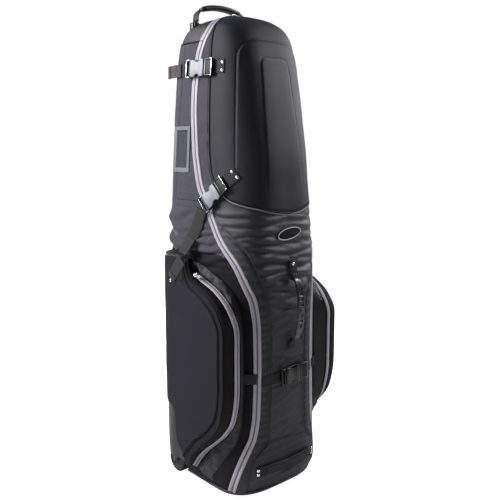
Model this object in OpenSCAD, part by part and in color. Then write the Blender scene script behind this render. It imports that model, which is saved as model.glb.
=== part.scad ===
// Upright wheeled travel case for a golf bag, standing on its base.
// +Z is up, the front of the case faces -Y, and the origin is on the floor under the middle.
// Left parts are modelled at -X, and right parts are their mirror images.

/* [Fabric] */
// Thickness of the fabric and foam walls
wall_t = 4; // [3:0.5:5]
// How far the moulded front shell stands proud of the side panels
shell_rise = 1; // [0.5:0.5:2]
// Width of one tape of the main zip
tape_w = 11; // [8:0.5:12]
// Thickness of a zip tape
tape_t = 2; // [1.5:0.5:3]
// Width of the tape of the pocket zips
pocket_tape_w = 14; // [12:1:16]
// Gap between the two halves of the case along the main zip
parting_gap = 2.4; // [2:0.2:2.8]

/* [Straps] */
// Width of the compression straps
strap_w = 38; // [34:1:40]
// Thickness of the webbing
web_t = 2; // [1.5:0.5:2.5]
// Length of a buckle socket
socket_l = 68; // [60:1:72]
// Length of a clip's frame outside its socket
clip_l = 28; // [22:1:30]
// Width of a buckle socket
socket_w = 46; // [44:1:50]

/* [Wheels] */
// Radius of the wheels
wheel_r = 37; // [35:1:38]
// Width of the wheels
wheel_w = 28; // [24:1:29]
// Radius of the axles
axle_r = 4; // [3:0.5:5]
// Radial running clearance between an axle and its bush
running_gap = 0.06; // [0.03:0.01:0.09]

/* [Handles] */
// Distance between the two ends of the top handle
top_span = 176; // [160:2:184]
// Height of the top handle above its hinge pins
top_rise = 46; // [36:1:50]
// How far the front grab handle stands off
grab_standoff = 36; // [28:1:40]

/* [Hidden] */
$fn = 48;

// Plan sections of the body from base to crown. Each row holds the height, the half width at the
// back, the half width at the front, how far back and how far forward it reaches, and the
// squareness of the back and front corners.
SECTIONS = [
    [22, 162, 160, 150, -146, 8, 3.6],
    [50, 167, 164, 157, -156, 9, 3.8],
    [120, 168, 155, 160, -162, 10, 3.8],
    [300, 168, 149, 160, -164, 10, 3.7],
    [550, 168, 145, 160, -164, 10, 3.6],
    [660, 172, 143, 160, -162, 10, 3.6],
    [760, 172, 137, 160, -158, 10, 3.4],
    [900, 161, 130, 160, -146, 10, 3.2],
    [1050, 152, 127, 160, -122, 9, 3.0],
    [1170, 141, 119, 157, -100, 8, 3.0],
    [1225, 136, 113, 152, -86, 7, 3.0],
    [1258, 124, 103, 142, -68, 6, 2.8],
    [1280, 100, 80, 122, -40, 4, 2.6],
    [1292, 60, 45, 90, -5, 3, 2.4],
    [1296, 1, 1, 21, 19, 2, 2]];
mid_y = 20;
base_z = SECTIONS[0][0];
crown_z = SECTIONS[len(SECTIONS) - 1][0];
// How far the surface of the crown leans back from upright, by height
LEAN = [[1170, 0], [1225, 22], [1258, 45], [1280, 66], [1292, 84], [1296, 90]];
// Bearing of the left half of the main zip around the body, by height
ZIP = [[22, 219], [71, 223.3], [131, 229.9], [189, 236.5], [248, 238.8], [372, 239.7],
    [477, 239.3], [553, 236.4], [589, 231.8], [648, 223], [713, 206], [759, 196.5], [812, 186.7],
    [849, 178.5], [900, 173], [944, 170], [1104, 166], [1186, 168.5], [1227, 174], [1263, 180],
    [1296, 180]];
// Heights at which the panels below the crown and those on it are shaped
PANEL_Z = [22, 50, 90, 131, 160, 189, 248, 372, 477, 553, 589, 618, 648, 680, 713, 759, 786, 812,
    849, 900, 944, 1050, 1120, 1186, 1225];
CROWN_Z = [1226, 1242, 1258, 1270, 1280, 1288, 1292, 1296];
// Height of the lower edge of the front shell at the zip, and at the middle of the front
shell_side_z = 849;
shell_mid_z = 779;
panel_gap_phi = 0.2;
// How deep pieces that are sewn or riveted on sink into what holds them
sewn = 0.4;
rear_corner_phi = 135;

function mix(a, b, t) = a + (b - a) * t;
function smooth(t) = t * t * (3 - 2 * t);
function unit(v) = v / norm(v);
function across(p) = [-p[0], p[1], p[2]];
function column(z, k) = lookup(z, [for (row = SECTIONS) [row[0], row[k]]]);
function reach(z, phi, off) =
    let (s = sin(phi), t = smooth((1 + s) / 2))
    let (half = mix(column(z, 2), column(z, 1), t) + off)
    let (square = mix(column(z, 6), column(z, 5), t))
    let (depth = (s >= 0 ? column(z, 3) - mid_y : mid_y - column(z, 4)) + off)
    pow(pow(abs(cos(phi)) / half, square) + pow(abs(s) / depth, square), -1 / square);
// Point on the body at a height and bearing, moved outwards by off
function skin(z, phi, off = 0) =
    let (lean = lookup(z, LEAN), r = reach(z, phi, off * cos(lean)))
    [r * cos(phi), mid_y + r * sin(phi), z + off * sin(lean)];
function skin_normal(z, phi) =
    let (low = min(z, crown_z - 1))
    z > 1290 ? [0, 0, 1]
        : unit(cross(skin(low, phi + 1) - skin(low, phi - 1), skin(low + 1, phi) - skin(low - 1, phi)));
function zip_phi(z) = lookup(z, ZIP);
function gap_phi(z) = parting_gap / 2 / max(reach(z, zip_phi(z), 0), 12) * 57.3;

// Closed solid through rings that each run out along one face and back along the other
module loft(rings) {
    m = len(rings[0]);
    n = len(rings);
    half = m / 2;
    sides = [for (i = [0:n - 2], j = [0:m - 1])
        let (a = i * m + j, b = i * m + (j + 1) % m)
        each [[a, a + m, b + m], [a, b + m, b]]];
    first = [for (j = [0:half - 2]) each [[j, j + 1, m - 2 - j], [j, m - 2 - j, m - 1 - j]]];
    last = [for (f = first) [f[2], f[1], f[0]] + (n - 1) * m * [1, 1, 1]];
    polyhedron(points = [for (r = rings) each r], faces = concat(sides, first, last));
}

// Wall between an outer and an inner grid of points
module wall(outer, inner) {
    loft([for (i = [0:len(outer) - 1])
        concat(outer[i], [for (j = [len(inner[i]) - 1:-1:0]) inner[i][j]])]);
}

// Flat band along a path, from w0 to w1 across it and from h0 to h1 above it
module ribbon(path, normals, w0, w1, h0, h1) {
    last = len(path) - 1;
    loft([for (i = [0:last])
        let (along = unit(path[min(i + 1, last)] - path[max(i - 1, 0)]), up = normals[i])
        let (side = unit(cross(along, up)), p = path[i])
        [p + side * w0 + up * h0, p + side * w0 + up * h1,
            p + side * w1 + up * h1, p + side * w1 + up * h0]]);
}

module both_sides() {
    children();
    mirror([1, 0, 0]) children();
}

// Stands its children on the skin: local x runs towards the front, y up and z outwards
module on_skin(z, phi, spin = 0, off = 0) {
    out = skin_normal(z, phi);
    ahead = unit(cross([0, 0, 1], out));
    up = cross(out, ahead);
    p = skin(z, phi, off);
    multmatrix([[ahead[0], up[0], out[0], p[0]], [ahead[1], up[1], out[1], p[1]],
        [ahead[2], up[2], out[2], p[2]], [0, 0, 0, 1]])
        rotate([0, 0, spin]) children();
}

module skin_panel(heights, from_phi, to_phi, steps, inner_off, outer_off) {
    function grid(off) = [for (z = heights)
        [for (i = [0:steps]) skin(z, mix(from_phi(z), to_phi(z), i / steps), off)]];
    wall(grid(outer_off), grid(inner_off));
}

// ---- rear half of the case ----

// Room for a wheel in its housing
well_x = [-175, -137];
well_y = [88, 172];
well_z = 80;
wheel_x = -156;
wheel_y = 130;

module wheel_wells(grow = 0) {
    both_sides()
        translate([well_x[0] - grow, well_y[0] - grow, -1])
            cube([well_x[1] - well_x[0] + 2 * grow, well_y[1] - well_y[0] + 2 * grow + 20,
                well_z + 1 + grow]);
}

module back_panel() {
    color("#26262b") difference() {
        skin_panel([26, 50, 90, 131, 189, 372, 553, 660, 759, 849, 944, 1050, 1120, 1186, 1225],
            function(z) 180 - rear_corner_phi, function(z) rear_corner_phi, 10, -wall_t, 0);
        wheel_wells(0.5);
    }
}

board_w = 192;
board_y = 149;
module back_board() {
    color("#3a3a3c") translate([-board_w / 2, board_y, 70]) cube([board_w, 3, 1030]);
}

module side_panel() {
    color("#4a4852") difference() {
        skin_panel(PANEL_Z, function(z) rear_corner_phi + panel_gap_phi,
            function(z) zip_phi(z) - gap_phi(z), 9, -wall_t, 0);
        wheel_wells(0.5);
    }
}

module rear_dome() {
    color("#17171a") skin_panel(CROWN_Z, function(z) 180 - zip_phi(z) + gap_phi(z),
        function(z) zip_phi(z) - gap_phi(z), 14, -wall_t, 0);
}

function plan(z, off) = [for (phi = [0:6:354]) let (p = skin(z, phi, off)) [p[0], p[1]]];

module base_tub() {
    color("#2b2b2e") difference() {
        union() {
            translate([0, 0, 13]) linear_extrude(7.5) polygon(plan(24, -1));
            translate([0, 0, 20]) linear_extrude(28) polygon(plan(24, -9));
        }
        translate([0, 0, 22]) linear_extrude(40) polygon(plan(24, -12));
        wheel_wells(0.5);
    }
}

module base_pad() {
    color("#3a3a3c") translate([0, 0, 22.5]) linear_extrude(18)
        difference() {
            polygon(plan(24, -14));
            for (s = [-1, 1]) translate([s * 160, 150]) square([70, 150], center = true);
        }
}

foot_x = 98;
foot_y = -92;
module front_feet() {
    color("#101012") both_sides() translate([-foot_x, foot_y, 0]) {
        translate([0, 0, 3]) cylinder(h = 10, r = 17);
        cylinder(h = 3.01, r1 = 14, r2 = 17, $fn = 48);
    }
}

skid_x = 62;
module back_skids() {
    color("#1b1b1d") both_sides() translate([-skid_x - 9, 160.3, 290])
        cube([18, 7, 700]);
}

guard_z = [40, 60, 85, 120, 180, 245, 262];
GUARD_EDGE = [[40, 163], [85, 156], [120, 152], [245, 150.5], [262, 144]];
module corner_guard() {
    color("#3b3a3d") difference() {
        skin_panel(guard_z, function(z) 116, function(z) lookup(z, GUARD_EDGE), 10, 1.8, 13);
        wheel_wells(0.5);
    }
}

module wheel_housings() {
    t = 2.6;
    color("#1b1b1d") both_sides() difference() {
        translate([well_x[0], well_y[0], 36])
            cube([well_x[1] - well_x[0], well_y[1] - well_y[0], well_z - 36]);
        translate([well_x[0] + t, well_y[0] + t, 0])
            cube([well_x[1] - well_x[0] - 2 * t, well_y[1] - well_y[0], well_z - t]);
        translate([well_x[0] - 1, wheel_y, wheel_r]) rotate([0, 90, 0])
            cylinder(h = 60, r = axle_r + 0.02);
    }
}

module wheel_axles() {
    color("#b8b8bc") both_sides() translate([well_x[0] + 0.2, wheel_y, wheel_r]) rotate([0, 90, 0])
        cylinder(h = well_x[1] - well_x[0] - 0.4, r = axle_r);
}

zip_heights = [for (row = ZIP) row[0]];
zip_steps = [for (i = [0:len(zip_heights) - 2]) each [zip_heights[i],
    (zip_heights[i] + zip_heights[i + 1]) / 2]];
zip_left = [for (z = zip_steps) if (z >= 30 && z < 1293) z];
zip_path = concat([for (z = zip_left) skin(z, zip_phi(z))], [[-30, 20, 1294], [30, 20, 1294]],
    [for (i = [len(zip_left) - 1:-1:0]) across(skin(zip_left[i], zip_phi(zip_left[i])))]);
zip_normals = concat([for (z = zip_left) skin_normal(z, zip_phi(z))], [[0, 0, 1], [0, 0, 1]],
    [for (i = [len(zip_left) - 1:-1:0]) across(skin_normal(zip_left[i], zip_phi(zip_left[i])))]);

module main_zip_rear() {
    color("#a89cb0") ribbon(zip_path, zip_normals, -tape_w, -1.1, -sewn, tape_t);
}

// Front edge of the pocket flap, as [y, z] from its lower end to its upper end
FLAP_EDGE = [[45, 60], [15, 100], [-20, 136], [-60, 170], [-96, 204], [-128, 253], [-142, 340],
    [-142, 474], [-118, 528], [-66, 568], [12, 598], [34, 620], [46, 648]];
// Where the gusset meets the body, as [z, bearing], beside each point of the flap's edge and then
// along the top of the pocket
GUSSET_ROOT = [[36, 199], [70, 206], [104, 213], [140, 220], [180, 226], [240, 229], [340, 230],
    [480, 229], [560, 224], [606, 210], [634, 190], [645, 180], [655, 170], [664, 158], [666, 144]];
// The pocket's zip runs along the flap's edge up to this point of it
zip_last = 10;
FLAP_BACK = [[60, 84], [100, 100], [170, 112], [253, 114], [290, 146], [660, 146]];
flap_last = len(FLAP_EDGE) - 1;
flap_back_x = 184;
flap_bulge = 24;
function flap_x(y, z) = -(flap_back_x + flap_bulge * (1 - pow(abs(z - 345) / 330, 4))
    * sqrt(max(150 - y, 0) / 292));
function edge_out(j) =
    let (d = unit(FLAP_EDGE[min(j + 1, flap_last)] - FLAP_EDGE[max(j - 1, 0)])) [-d[1], d[0]];
// Point beside the flap's edge: out is measured away from the flap, x is given
function beside(j, out, x) =
    let (e = FLAP_EDGE[j] + edge_out(j) * out) [x, e[0], e[1]];
pocket_zip_x = -173;

function grid_normal(g, j, k) =
    let (along = g[min(j + 1, len(g) - 1)][k] - g[max(j - 1, 0)][k])
    let (across = g[j][min(k + 1, len(g[j]) - 1)] - g[j][max(k - 1, 0)])
    unit(cross(along, across));

gusset_t = 2.4;
module pocket_gusset() {
    roof = [[-187, 76, 653], [-182, 146, 655]];
    rim = concat([for (j = [0:flap_last]) beside(j, 21, -167)], roof);
    root = [for (r = GUSSET_ROOT) skin(r[0], r[1], 0.3)];
    outer = [for (j = [0:len(rim) - 1]) [for (t = [0, 0.35, 0.7, 1])
        mix(rim[j], root[j], t) + skin_normal(GUSSET_ROOT[j][0], GUSSET_ROOT[j][1]) * 7
            * sin(180 * t)]];
    inner = [for (j = [0:len(outer) - 1]) [for (k = [0:3])
        outer[j][k] + grid_normal(outer, j, k) * gusset_t]];
    color("#1e1d22") wall(outer, inner);
}

card_z = [890, 1000];
card_phi = [145, 160];
module card_plate(grow, low, high) {
    skin_panel([card_z[0] - grow, (card_z[0] + card_z[1]) / 2, card_z[1] + grow],
        function(z) card_phi[0] - grow / 2.6, function(z) card_phi[1] + grow / 2.6, 4, low, high);
}
module card_frame() {
    color("#74737a") difference() {
        card_plate(7, 0.3, 2.2);
        card_plate(-3, -1, 4);
    }
}
module card_window() {
    color("#9a99a0") card_plate(-3.5, 0.3, 1.2);
}

upper_z = 1155;
upper_phi = 169.5;
diagonal_z = 819;
diagonal_phi = 196.5;
diagonal_spin = 43;
buckle_off = 4.6;
lower_z = 341;
lower_x = 0;
grab_x = 12;
grab_z = [440, 606];
grab_y = -163;
grab_t = 7;
// How far the ends of the grab handle stand off
grab_root = 9;

function strap_path(points) = [for (p = points) skin(p[0], p[1])];
function strap_normals(points) = [for (p = points) skin_normal(p[0], p[1])];
module strap(points, low, high, half_w = strap_w / 2) {
    ribbon(strap_path(points), strap_normals(points), -half_w, half_w, low, high);
}

// How far the loose ends of the upper straps reach behind the case, which matches the front handle
tail_y = grab_standoff - grab_y + grab_t / 2;
module upper_straps() {
    start = skin(upper_z, 146) + [-3.2, 0, 0];
    tail = [start[0] - 5, tail_y, upper_z];
    color("#3c3a40") both_sides() {
        strap([for (phi = [131:3:161]) [upper_z, phi]], -sewn, web_t);
        ribbon([start, mix(start, tail, 0.5), tail], [[-1, 0, 0], [-1, 0, 0], [-1, 0, 0]],
            -strap_w / 2 + 2, strap_w / 2 - 2, 0, 1.6);
    }
}

DIAGONAL = [[772, 182.5], [758, 180.5], [738, 177.5], [720, 173.5], [706, 170]];
// Where the diagonal strap is sewn down, at the outer edge of the pocket's roof
diagonal_end = [[-178, 49, 688], [-189, 53, 668]];
module diagonal_straps() {
    color("#232226") both_sides() ribbon(concat(strap_path(DIAGONAL), diagonal_end),
        concat(strap_normals(DIAGONAL), [unit([-1, 0, 0.7]), unit([-1, 0, 0.3])]),
        -strap_w / 2, strap_w / 2, -sewn, web_t);
}

module lower_strap_ends() {
    color("#232226") both_sides()
        ribbon([skin(lower_z + 6, zip_phi(lower_z) - 0.6, 2.8), skin(lower_z + 8, 232, 5.5),
            skin(lower_z + 10, 226, 12)],
            [for (phi = [239, 232, 226]) skin_normal(lower_z, phi)], -14, 14, 0, web_t);
}

// Socket of a side-release buckle: open at +x, with waisted sides and a cavity for the clip
cavity_w = 36;
cavity_h = 5.2;
socket_h = 11;
module socket_body() {
    difference() {
        translate([-socket_l / 2, -socket_w / 2, 0]) cube([socket_l, socket_w, socket_h]);
        for (s = [-1, 1]) translate([9, s * (socket_w / 2 + 16), -1])
            cylinder(h = socket_h + 2, r = 21, $fn = 64);
        translate([-8, -cavity_w / 2 + 2, (socket_h - cavity_h) / 2])
            cube([socket_l, cavity_w - 4, cavity_h]);
        translate([-socket_l / 2 + 6, -strap_w / 2 - 1, -1]) cube([4, strap_w + 2, socket_h + 2]);
    }
}
module clip_body() {
    bar_x = socket_l / 2 + 1;
    translate([bar_x, 0, 0]) difference() {
        translate([0, -socket_w / 2 + 1, 1]) cube([clip_l, socket_w - 2, socket_h - 2]);
        translate([clip_l - 12, -strap_w / 2 - 1, -1]) cube([7, strap_w + 2, socket_h + 2]);
    }
    for (s = [-1, 0, 1]) translate([-5, s * 11 - 2.6, (socket_h - 4.2) / 2])
        cube([bar_x + 6, 5.2, 4.2]);
}
module at_upper() {
    on_skin(upper_z, upper_phi, 0, buckle_off) children();
}
module at_diagonal() {
    on_skin(diagonal_z, diagonal_phi, diagonal_spin, buckle_off) children();
}
module at_lower() {
    on_skin(lower_z, 270 + lower_x / 2.9, 3, 4) children();
}

module handle_anchors() {
    color("#1b1b1d") both_sides() translate([-top_span / 2, 118, 0]) {
        translate([-16, -9, 1264]) cube([8, 18, 22.5]);
        translate([9, -9, 1270]) cube([8, 18, 16.5]);
        translate([-9, 0, 1283]) rotate([0, 90, 0]) cylinder(h = 20, r = axle_r - 1);
    }
}

module inner_straps() {
    color("#232226") for (z = [420, 960]) translate([-70, board_y - 2.8, z]) cube([140, 2.6, 40]);
}

module rivet(z, phi, off) {
    on_skin(z, phi, 0, off) cylinder(h = 2.4, r1 = 4.2, r2 = 3, $fn = 24);
}
module case_rivets() {
    color("#c9c9cd") both_sides() {
        rivet(248, 146.5, 13.2);
        rivet(78, 154.5, 13.2);
    }
}

// ---- opening front of the case ----

function shell_edge_z(u) = mix(shell_side_z, shell_mid_z, pow(sin(180 * u), 0.8));
function front_phi(z, u) = mix(zip_phi(z) + gap_phi(z), 540 - zip_phi(z) - gap_phi(z), u);
SHELL_ROWS = [849, 880, 920, 960, 1020, 1080, 1130, 1180, 1210, 1226, 1242, 1258, 1270, 1280, 1288,
    1292, 1296];
front_steps = 18;
function shell_grid(off) = [for (z = SHELL_ROWS) [for (i = [0:front_steps])
    let (u = i / front_steps, t = (z - shell_side_z) / (crown_z - shell_side_z))
    skin(mix(shell_edge_z(u), crown_z, t), front_phi(z, u), off)]];
module front_shell() {
    color("#1d1d21") wall(shell_grid(shell_rise), shell_grid(-2.4));
}
module shell_liner() {
    color("#55555a") wall([for (r = [for (k = [1:9]) shell_grid(-2.6)[k]]) [for (i = [2:16]) r[i]]],
        [for (r = [for (k = [1:9]) shell_grid(-7)[k]]) [for (i = [2:16]) r[i]]]);
}

PANEL_ROWS = [for (z = PANEL_Z) if (z <= shell_side_z) z];
function panel_grid(off) = [for (z = PANEL_ROWS) [for (i = [0:14])
    let (u = i / 14, t = (z - base_z) / (shell_side_z - base_z))
    skin(mix(base_z, shell_edge_z(u) - 1.8, t), front_phi(z, u), off)]];
module front_panel() {
    color("#1b1b20") wall(panel_grid(0), panel_grid(-wall_t));
}

module shell_binding() {
    us = [for (i = [1:23]) i / 24];
    color("#77757c") ribbon([for (u = us) skin(shell_edge_z(u), front_phi(shell_side_z, u))],
        [for (u = us) skin_normal(shell_edge_z(u), front_phi(shell_side_z, u))],
        -5, 5, shell_rise - 0.4, shell_rise + 1.8);
}

module main_zip_front() {
    color("#a89cb0") ribbon(zip_path, zip_normals, 1.1, tape_w, -sewn, tape_t);
}

UPPER_TAB = [for (phi = [188:3:209]) [upper_z, phi]];
DIAGONAL_TAB = [[861, 214], [869, 217], [877, 220], [886, 223.4]];
module strap_tabs() {
    color("#232226") both_sides() {
        strap(UPPER_TAB, shell_rise - sewn, shell_rise + web_t, strap_w / 2 - 1);
        strap(DIAGONAL_TAB, shell_rise - sewn, shell_rise + web_t, strap_w / 2 - 1);
    }
}

module door_rivets() {
    tab_top = shell_rise + web_t - 0.4;
    color("#c9c9cd") both_sides() {
        rivet(upper_z + 10, 207, tab_top);
        rivet(upper_z - 10, 207, tab_top);
        rivet(889, 219, tab_top);
        rivet(875, 224, tab_top);
        rivet(88, 241.5, 0.2);
        rivet(74, 241.5, 0.2);
    }
}

module grab_tabs() {
    color("#141416") for (z = grab_z) on_skin(z, 270 + grab_x / 3.2, 0, -sewn)
        translate([-15, z == grab_z[0] ? -26 : 4, 0]) cube([30, z == grab_z[0] ? 24 : 56, 3]);
}

lower_path = [for (i = [-8:8]) [lower_z + i * 0.5, 270 + i * 3.35]];
module lower_strap() {
    color("#232226") ribbon([for (p = lower_path) skin(p[0], p[1])],
        [for (p = lower_path) skin_normal(p[0], p[1])], -14, 14, -sewn, web_t);
}

badge_z = 726;
badge_l = 64;
badge_h = 20;
module badge() {
    color("#8d8c94") on_skin(badge_z, 271, 8, -sewn) linear_extrude(1.6)
        polygon([for (a = [0:15:345]) [badge_l / 2 * cos(a), badge_h / 2 * sin(a)]]);
}

// ---- moving pieces ----

module wheel_tyre() {
    color("#141416") translate([wheel_x - wheel_w / 2, wheel_y, wheel_r]) rotate([0, 90, 0]) {
        rotate_extrude($fn = 72) translate([25, 0]) square([wheel_r - 27, wheel_w]);
        for (k = [0:19]) rotate([0, 0, 18 * k]) translate([wheel_r - 2.6, -2.5, 1])
            cube([2.5, 5, wheel_w - 2]);
    }
}
module wheel_hub() {
    color("#3b3a3d") translate([wheel_x - wheel_w / 2 - 1, wheel_y, wheel_r]) rotate([0, 90, 0])
        difference() {
            union() {
                cylinder(h = wheel_w + 2, r = 10);
                translate([0, 0, 3]) cylinder(h = wheel_w - 4, r = 24.9, $fn = 72);
            }
            translate([0, 0, -1]) cylinder(h = wheel_w + 4, r = axle_r + running_gap);
        }
}

top_pin_z = 1283;
top_y = 118;
eye_r = 6.5;
module top_handle() {
    reach_x = top_span / 2;
    arch = [for (a = [-90:12:90]) [reach_x * sin(a) * (1 - 0.12 * pow(cos(a), 2)), top_y,
        top_pin_z + eye_r + top_rise * pow(cos(a), 0.55)]];
    normals = [for (i = [0:len(arch) - 1])
        let (d = unit(arch[min(i + 1, len(arch) - 1)] - arch[max(i - 1, 0)])) [-d[2], 0, d[0]]];
    color("#232226") {
        ribbon(arch, normals, -12, 12, -3, 3);
        both_sides() translate([-reach_x - 6, top_y, top_pin_z]) rotate([0, 90, 0]) difference() {
            cylinder(h = 12, r = eye_r + 1);
            translate([0, 0, -1]) cylinder(h = 14, r = axle_r - 1 + running_gap);
        }
    }
}

module grab_handle() {
    low = grab_z[0];
    high = grab_z[1];
    span = high - low;
    path = [for (t = [0:0.0625:1]) [grab_x, grab_y - grab_root - (grab_standoff - grab_root)
        * pow(sin(180 * t), 0.6), low + span * t]];
    normals = [for (i = [0:16]) let (d = unit(path[min(i + 1, 16)] - path[max(i - 1, 0)]))
        [0, -d[2], d[1]]];
    color("#232327") difference() {
        ribbon(path, normals, -12, 12, -grab_t / 2, grab_t / 2);
        for (k = [-3, -2, -1, 1, 2, 3]) translate([grab_x, grab_y, (low + high) / 2 + k * 14])
            rotate([90, 0, 0]) cylinder(h = 60, r = 4, $fn = 24);
    }
}

module bottom_handle() {
    path = [for (x = [-96:12:96]) skin(86, 270 + x / 3.15, 3.4 + 5 * pow(cos(x * 0.9), 2))];
    color("#18181b") ribbon(path, [for (x = [-96:12:96]) skin_normal(86, 270 + x / 3.15)],
        -13, 13, 0, 3);
}

module pocket_flap() {
    rows = [for (j = [0:flap_last]) let (e = FLAP_EDGE[j], back = lookup(e[1], FLAP_BACK))
        concat([for (i = [0:4]) let (y = mix(back, e[0], i / 4)) [flap_x(y, e[1]), y, e[1]]],
            [beside(j, 5, flap_x(e[0], e[1]) + 4), beside(j, 8, -181)])];
    inner = [for (j = [0:flap_last]) let (o = edge_out(j)) [for (i = [0:6])
        let (k = i < 4 ? 0 : i == 4 ? 2 : 3) rows[j][i] + [wall_t, -o[0] * k, -o[1] * k]]];
    color("#3a3841") wall(rows, inner);
}

module pocket_zip() {
    path = [for (j = [0:zip_last]) beside(j, 15, pocket_zip_x)];
    normals = [for (j = [0:zip_last]) let (o = edge_out(j)) unit([-0.6, o[0] * 0.8, o[1] * 0.8])];
    color("#9d91a6") ribbon(path, normals, -pocket_tape_w / 2 - 2, pocket_tape_w / 2 - 1, 0, 1.6);
}

slider_x = -8;
slider_y = 25;
slider_z = 1296.05;
pin_rise = 4.6;
module main_slider() {
    color("#c9c9cd") translate([slider_x, slider_y, slider_z]) {
        difference() {
            translate([-7, -4.5, 0]) cube([14, 9, 6.4]);
            translate([-8, -2.6, 1.6]) cube([16, 5.2, 10]);
        }
        translate([0, -4, pin_rise]) rotate([-90, 0, 0]) cylinder(h = 8, r = 1);
    }
}
module main_pull() {
    color("#c9c9cd") translate([slider_x, slider_y, slider_z + pin_rise]) difference() {
        union() {
            rotate([-90, 0, 0]) translate([0, 0, -2.5]) cylinder(h = 5, r = 2.4, $fn = 32);
            translate([-10, -2.5, -1]) cube([9, 5, 2]);
            translate([-26, -3.5, -1]) cube([17, 7, 2]);
        }
        rotate([-90, 0, 0]) translate([0, 0, -6]) cylinder(h = 12, r = 1.05, $fn = 32);
    }
}

// Middle of the pin of a pocket slider, which stands upright at the upper end of the zip
pocket_pin = [-187, 2, 614];
module pocket_sliders() {
    color("#c9c9cd") both_sides() translate(pocket_pin) {
        difference() {
            translate([-2, -6, -4.6]) cube([6, 12, 9.2]);
            translate([-3, -7, -2.7]) cube([5.4, 14, 5.4]);
        }
        translate([0, 0, -4]) cylinder(h = 8, r = 1);
    }
}
module pocket_pull() {
    color("#c9c9cd") translate(pocket_pin) difference() {
        union() {
            translate([0, 0, -2.5]) cylinder(h = 5, r = 2.2, $fn = 32);
            translate([-1, -25.2, -2.5]) cube([2, 24, 5]);
        }
        translate([0, 0, -6]) cylinder(h = 12, r = 1.05, $fn = 32);
    }
}

back_panel();
back_board();
side_panel();  // side_panel_left
mirror([1, 0, 0]) side_panel();  // side_panel_right
rear_dome();
base_tub();
base_pad();
front_feet();
back_skids();
corner_guard();  // corner_guard_left
mirror([1, 0, 0]) corner_guard();  // corner_guard_right
wheel_housings();
wheel_axles();
main_zip_rear();
pocket_gusset();  // pocket_gusset_left
mirror([1, 0, 0]) pocket_gusset();  // pocket_gusset_right
card_frame();
card_window();
upper_straps();
diagonal_straps();
lower_strap_ends();
color("#c4c6cd") at_upper() socket_body();  // upper_socket_left
color("#c4c6cd") mirror([1, 0, 0]) at_upper() socket_body();  // upper_socket_right
color("#c4c6cd") at_diagonal() socket_body();  // diagonal_socket_left
color("#c4c6cd") mirror([1, 0, 0]) at_diagonal() socket_body();  // diagonal_socket_right
handle_anchors();
inner_straps();
case_rivets();
front_shell();
shell_liner();
front_panel();
shell_binding();
main_zip_front();
strap_tabs();
door_rivets();
grab_tabs();
lower_strap();
color("#1b1b1d") at_lower() socket_body();  // lower_socket
badge();
color("#1b1b1d") at_upper() clip_body();  // upper_clip_left
color("#1b1b1d") mirror([1, 0, 0]) at_upper() clip_body();  // upper_clip_right
color("#1b1b1d") at_diagonal() clip_body();  // diagonal_clip_left
color("#1b1b1d") mirror([1, 0, 0]) at_diagonal() clip_body();  // diagonal_clip_right
color("#1b1b1d") at_lower() clip_body();  // lower_clip
wheel_tyre();  // wheel_tyre_left
mirror([1, 0, 0]) wheel_tyre();  // wheel_tyre_right
wheel_hub();  // wheel_hub_left
mirror([1, 0, 0]) wheel_hub();  // wheel_hub_right
top_handle();
grab_handle();
bottom_handle();
pocket_flap();  // pocket_flap_left
mirror([1, 0, 0]) pocket_flap();  // pocket_flap_right
pocket_zip();  // pocket_zip_left
mirror([1, 0, 0]) pocket_zip();  // pocket_zip_right
main_slider();
main_pull();
pocket_sliders();
pocket_pull();  // pocket_pull_left
mirror([1, 0, 0]) pocket_pull();  // pocket_pull_right
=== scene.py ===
"""Looks of an upright golf travel case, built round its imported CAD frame.

Shapes are worked out in millimetres, in the frame of the CAD, and make() turns them into metres.
A place on the body is a height and a bearing, in degrees from +X about the body's middle line:
90 is the back, 180 the left side and 270 the front. Left pieces lie at -X, and right pieces are
their mirror images. A part is its points, its faces and, if it has them, its cloth coordinates.
"""
import math

import bpy
import numpy as np
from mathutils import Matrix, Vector


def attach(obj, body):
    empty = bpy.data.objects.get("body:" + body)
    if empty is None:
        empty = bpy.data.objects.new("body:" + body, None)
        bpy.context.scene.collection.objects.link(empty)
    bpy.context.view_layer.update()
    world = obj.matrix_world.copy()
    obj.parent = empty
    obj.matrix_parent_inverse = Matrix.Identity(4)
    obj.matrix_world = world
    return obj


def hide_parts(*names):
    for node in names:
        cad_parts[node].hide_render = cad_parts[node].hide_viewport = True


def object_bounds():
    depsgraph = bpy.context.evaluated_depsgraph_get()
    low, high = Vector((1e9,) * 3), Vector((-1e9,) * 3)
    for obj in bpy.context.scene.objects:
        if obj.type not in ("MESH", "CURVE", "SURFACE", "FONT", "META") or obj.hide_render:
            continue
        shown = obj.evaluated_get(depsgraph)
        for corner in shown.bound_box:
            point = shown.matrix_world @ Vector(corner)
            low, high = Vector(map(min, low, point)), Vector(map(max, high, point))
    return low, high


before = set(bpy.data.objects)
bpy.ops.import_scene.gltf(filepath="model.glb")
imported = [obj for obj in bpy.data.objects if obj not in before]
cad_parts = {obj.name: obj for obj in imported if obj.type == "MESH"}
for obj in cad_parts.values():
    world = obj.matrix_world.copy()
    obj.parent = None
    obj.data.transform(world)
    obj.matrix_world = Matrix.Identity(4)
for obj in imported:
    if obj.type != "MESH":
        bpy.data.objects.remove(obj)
cad_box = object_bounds()
rng = np.random.default_rng(7)

MM = 0.001
RADIAN = 57.3  # degrees
ARC = 2.75  # millimetres along the body to a degree of bearing, on average
LEFT, UP = np.array([-1.0, 0, 0]), np.array([0, 0, 1.0])
# local axes of a part whose own z runs to the right, or to the front
AXIS_X = np.array([[0, 1, 0], [0, 0, 1], [1, 0, 0]])
AXIS_Y = np.array([[1, 0, 0], [0, 0, 1], [0, -1, 0]])
# the mirror image of AXIS_X, whose z runs to the left; the part's faces are flipped with it
AXIS_LEFT = AXIS_X * np.array([[1], [1], [-1]])

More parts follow.
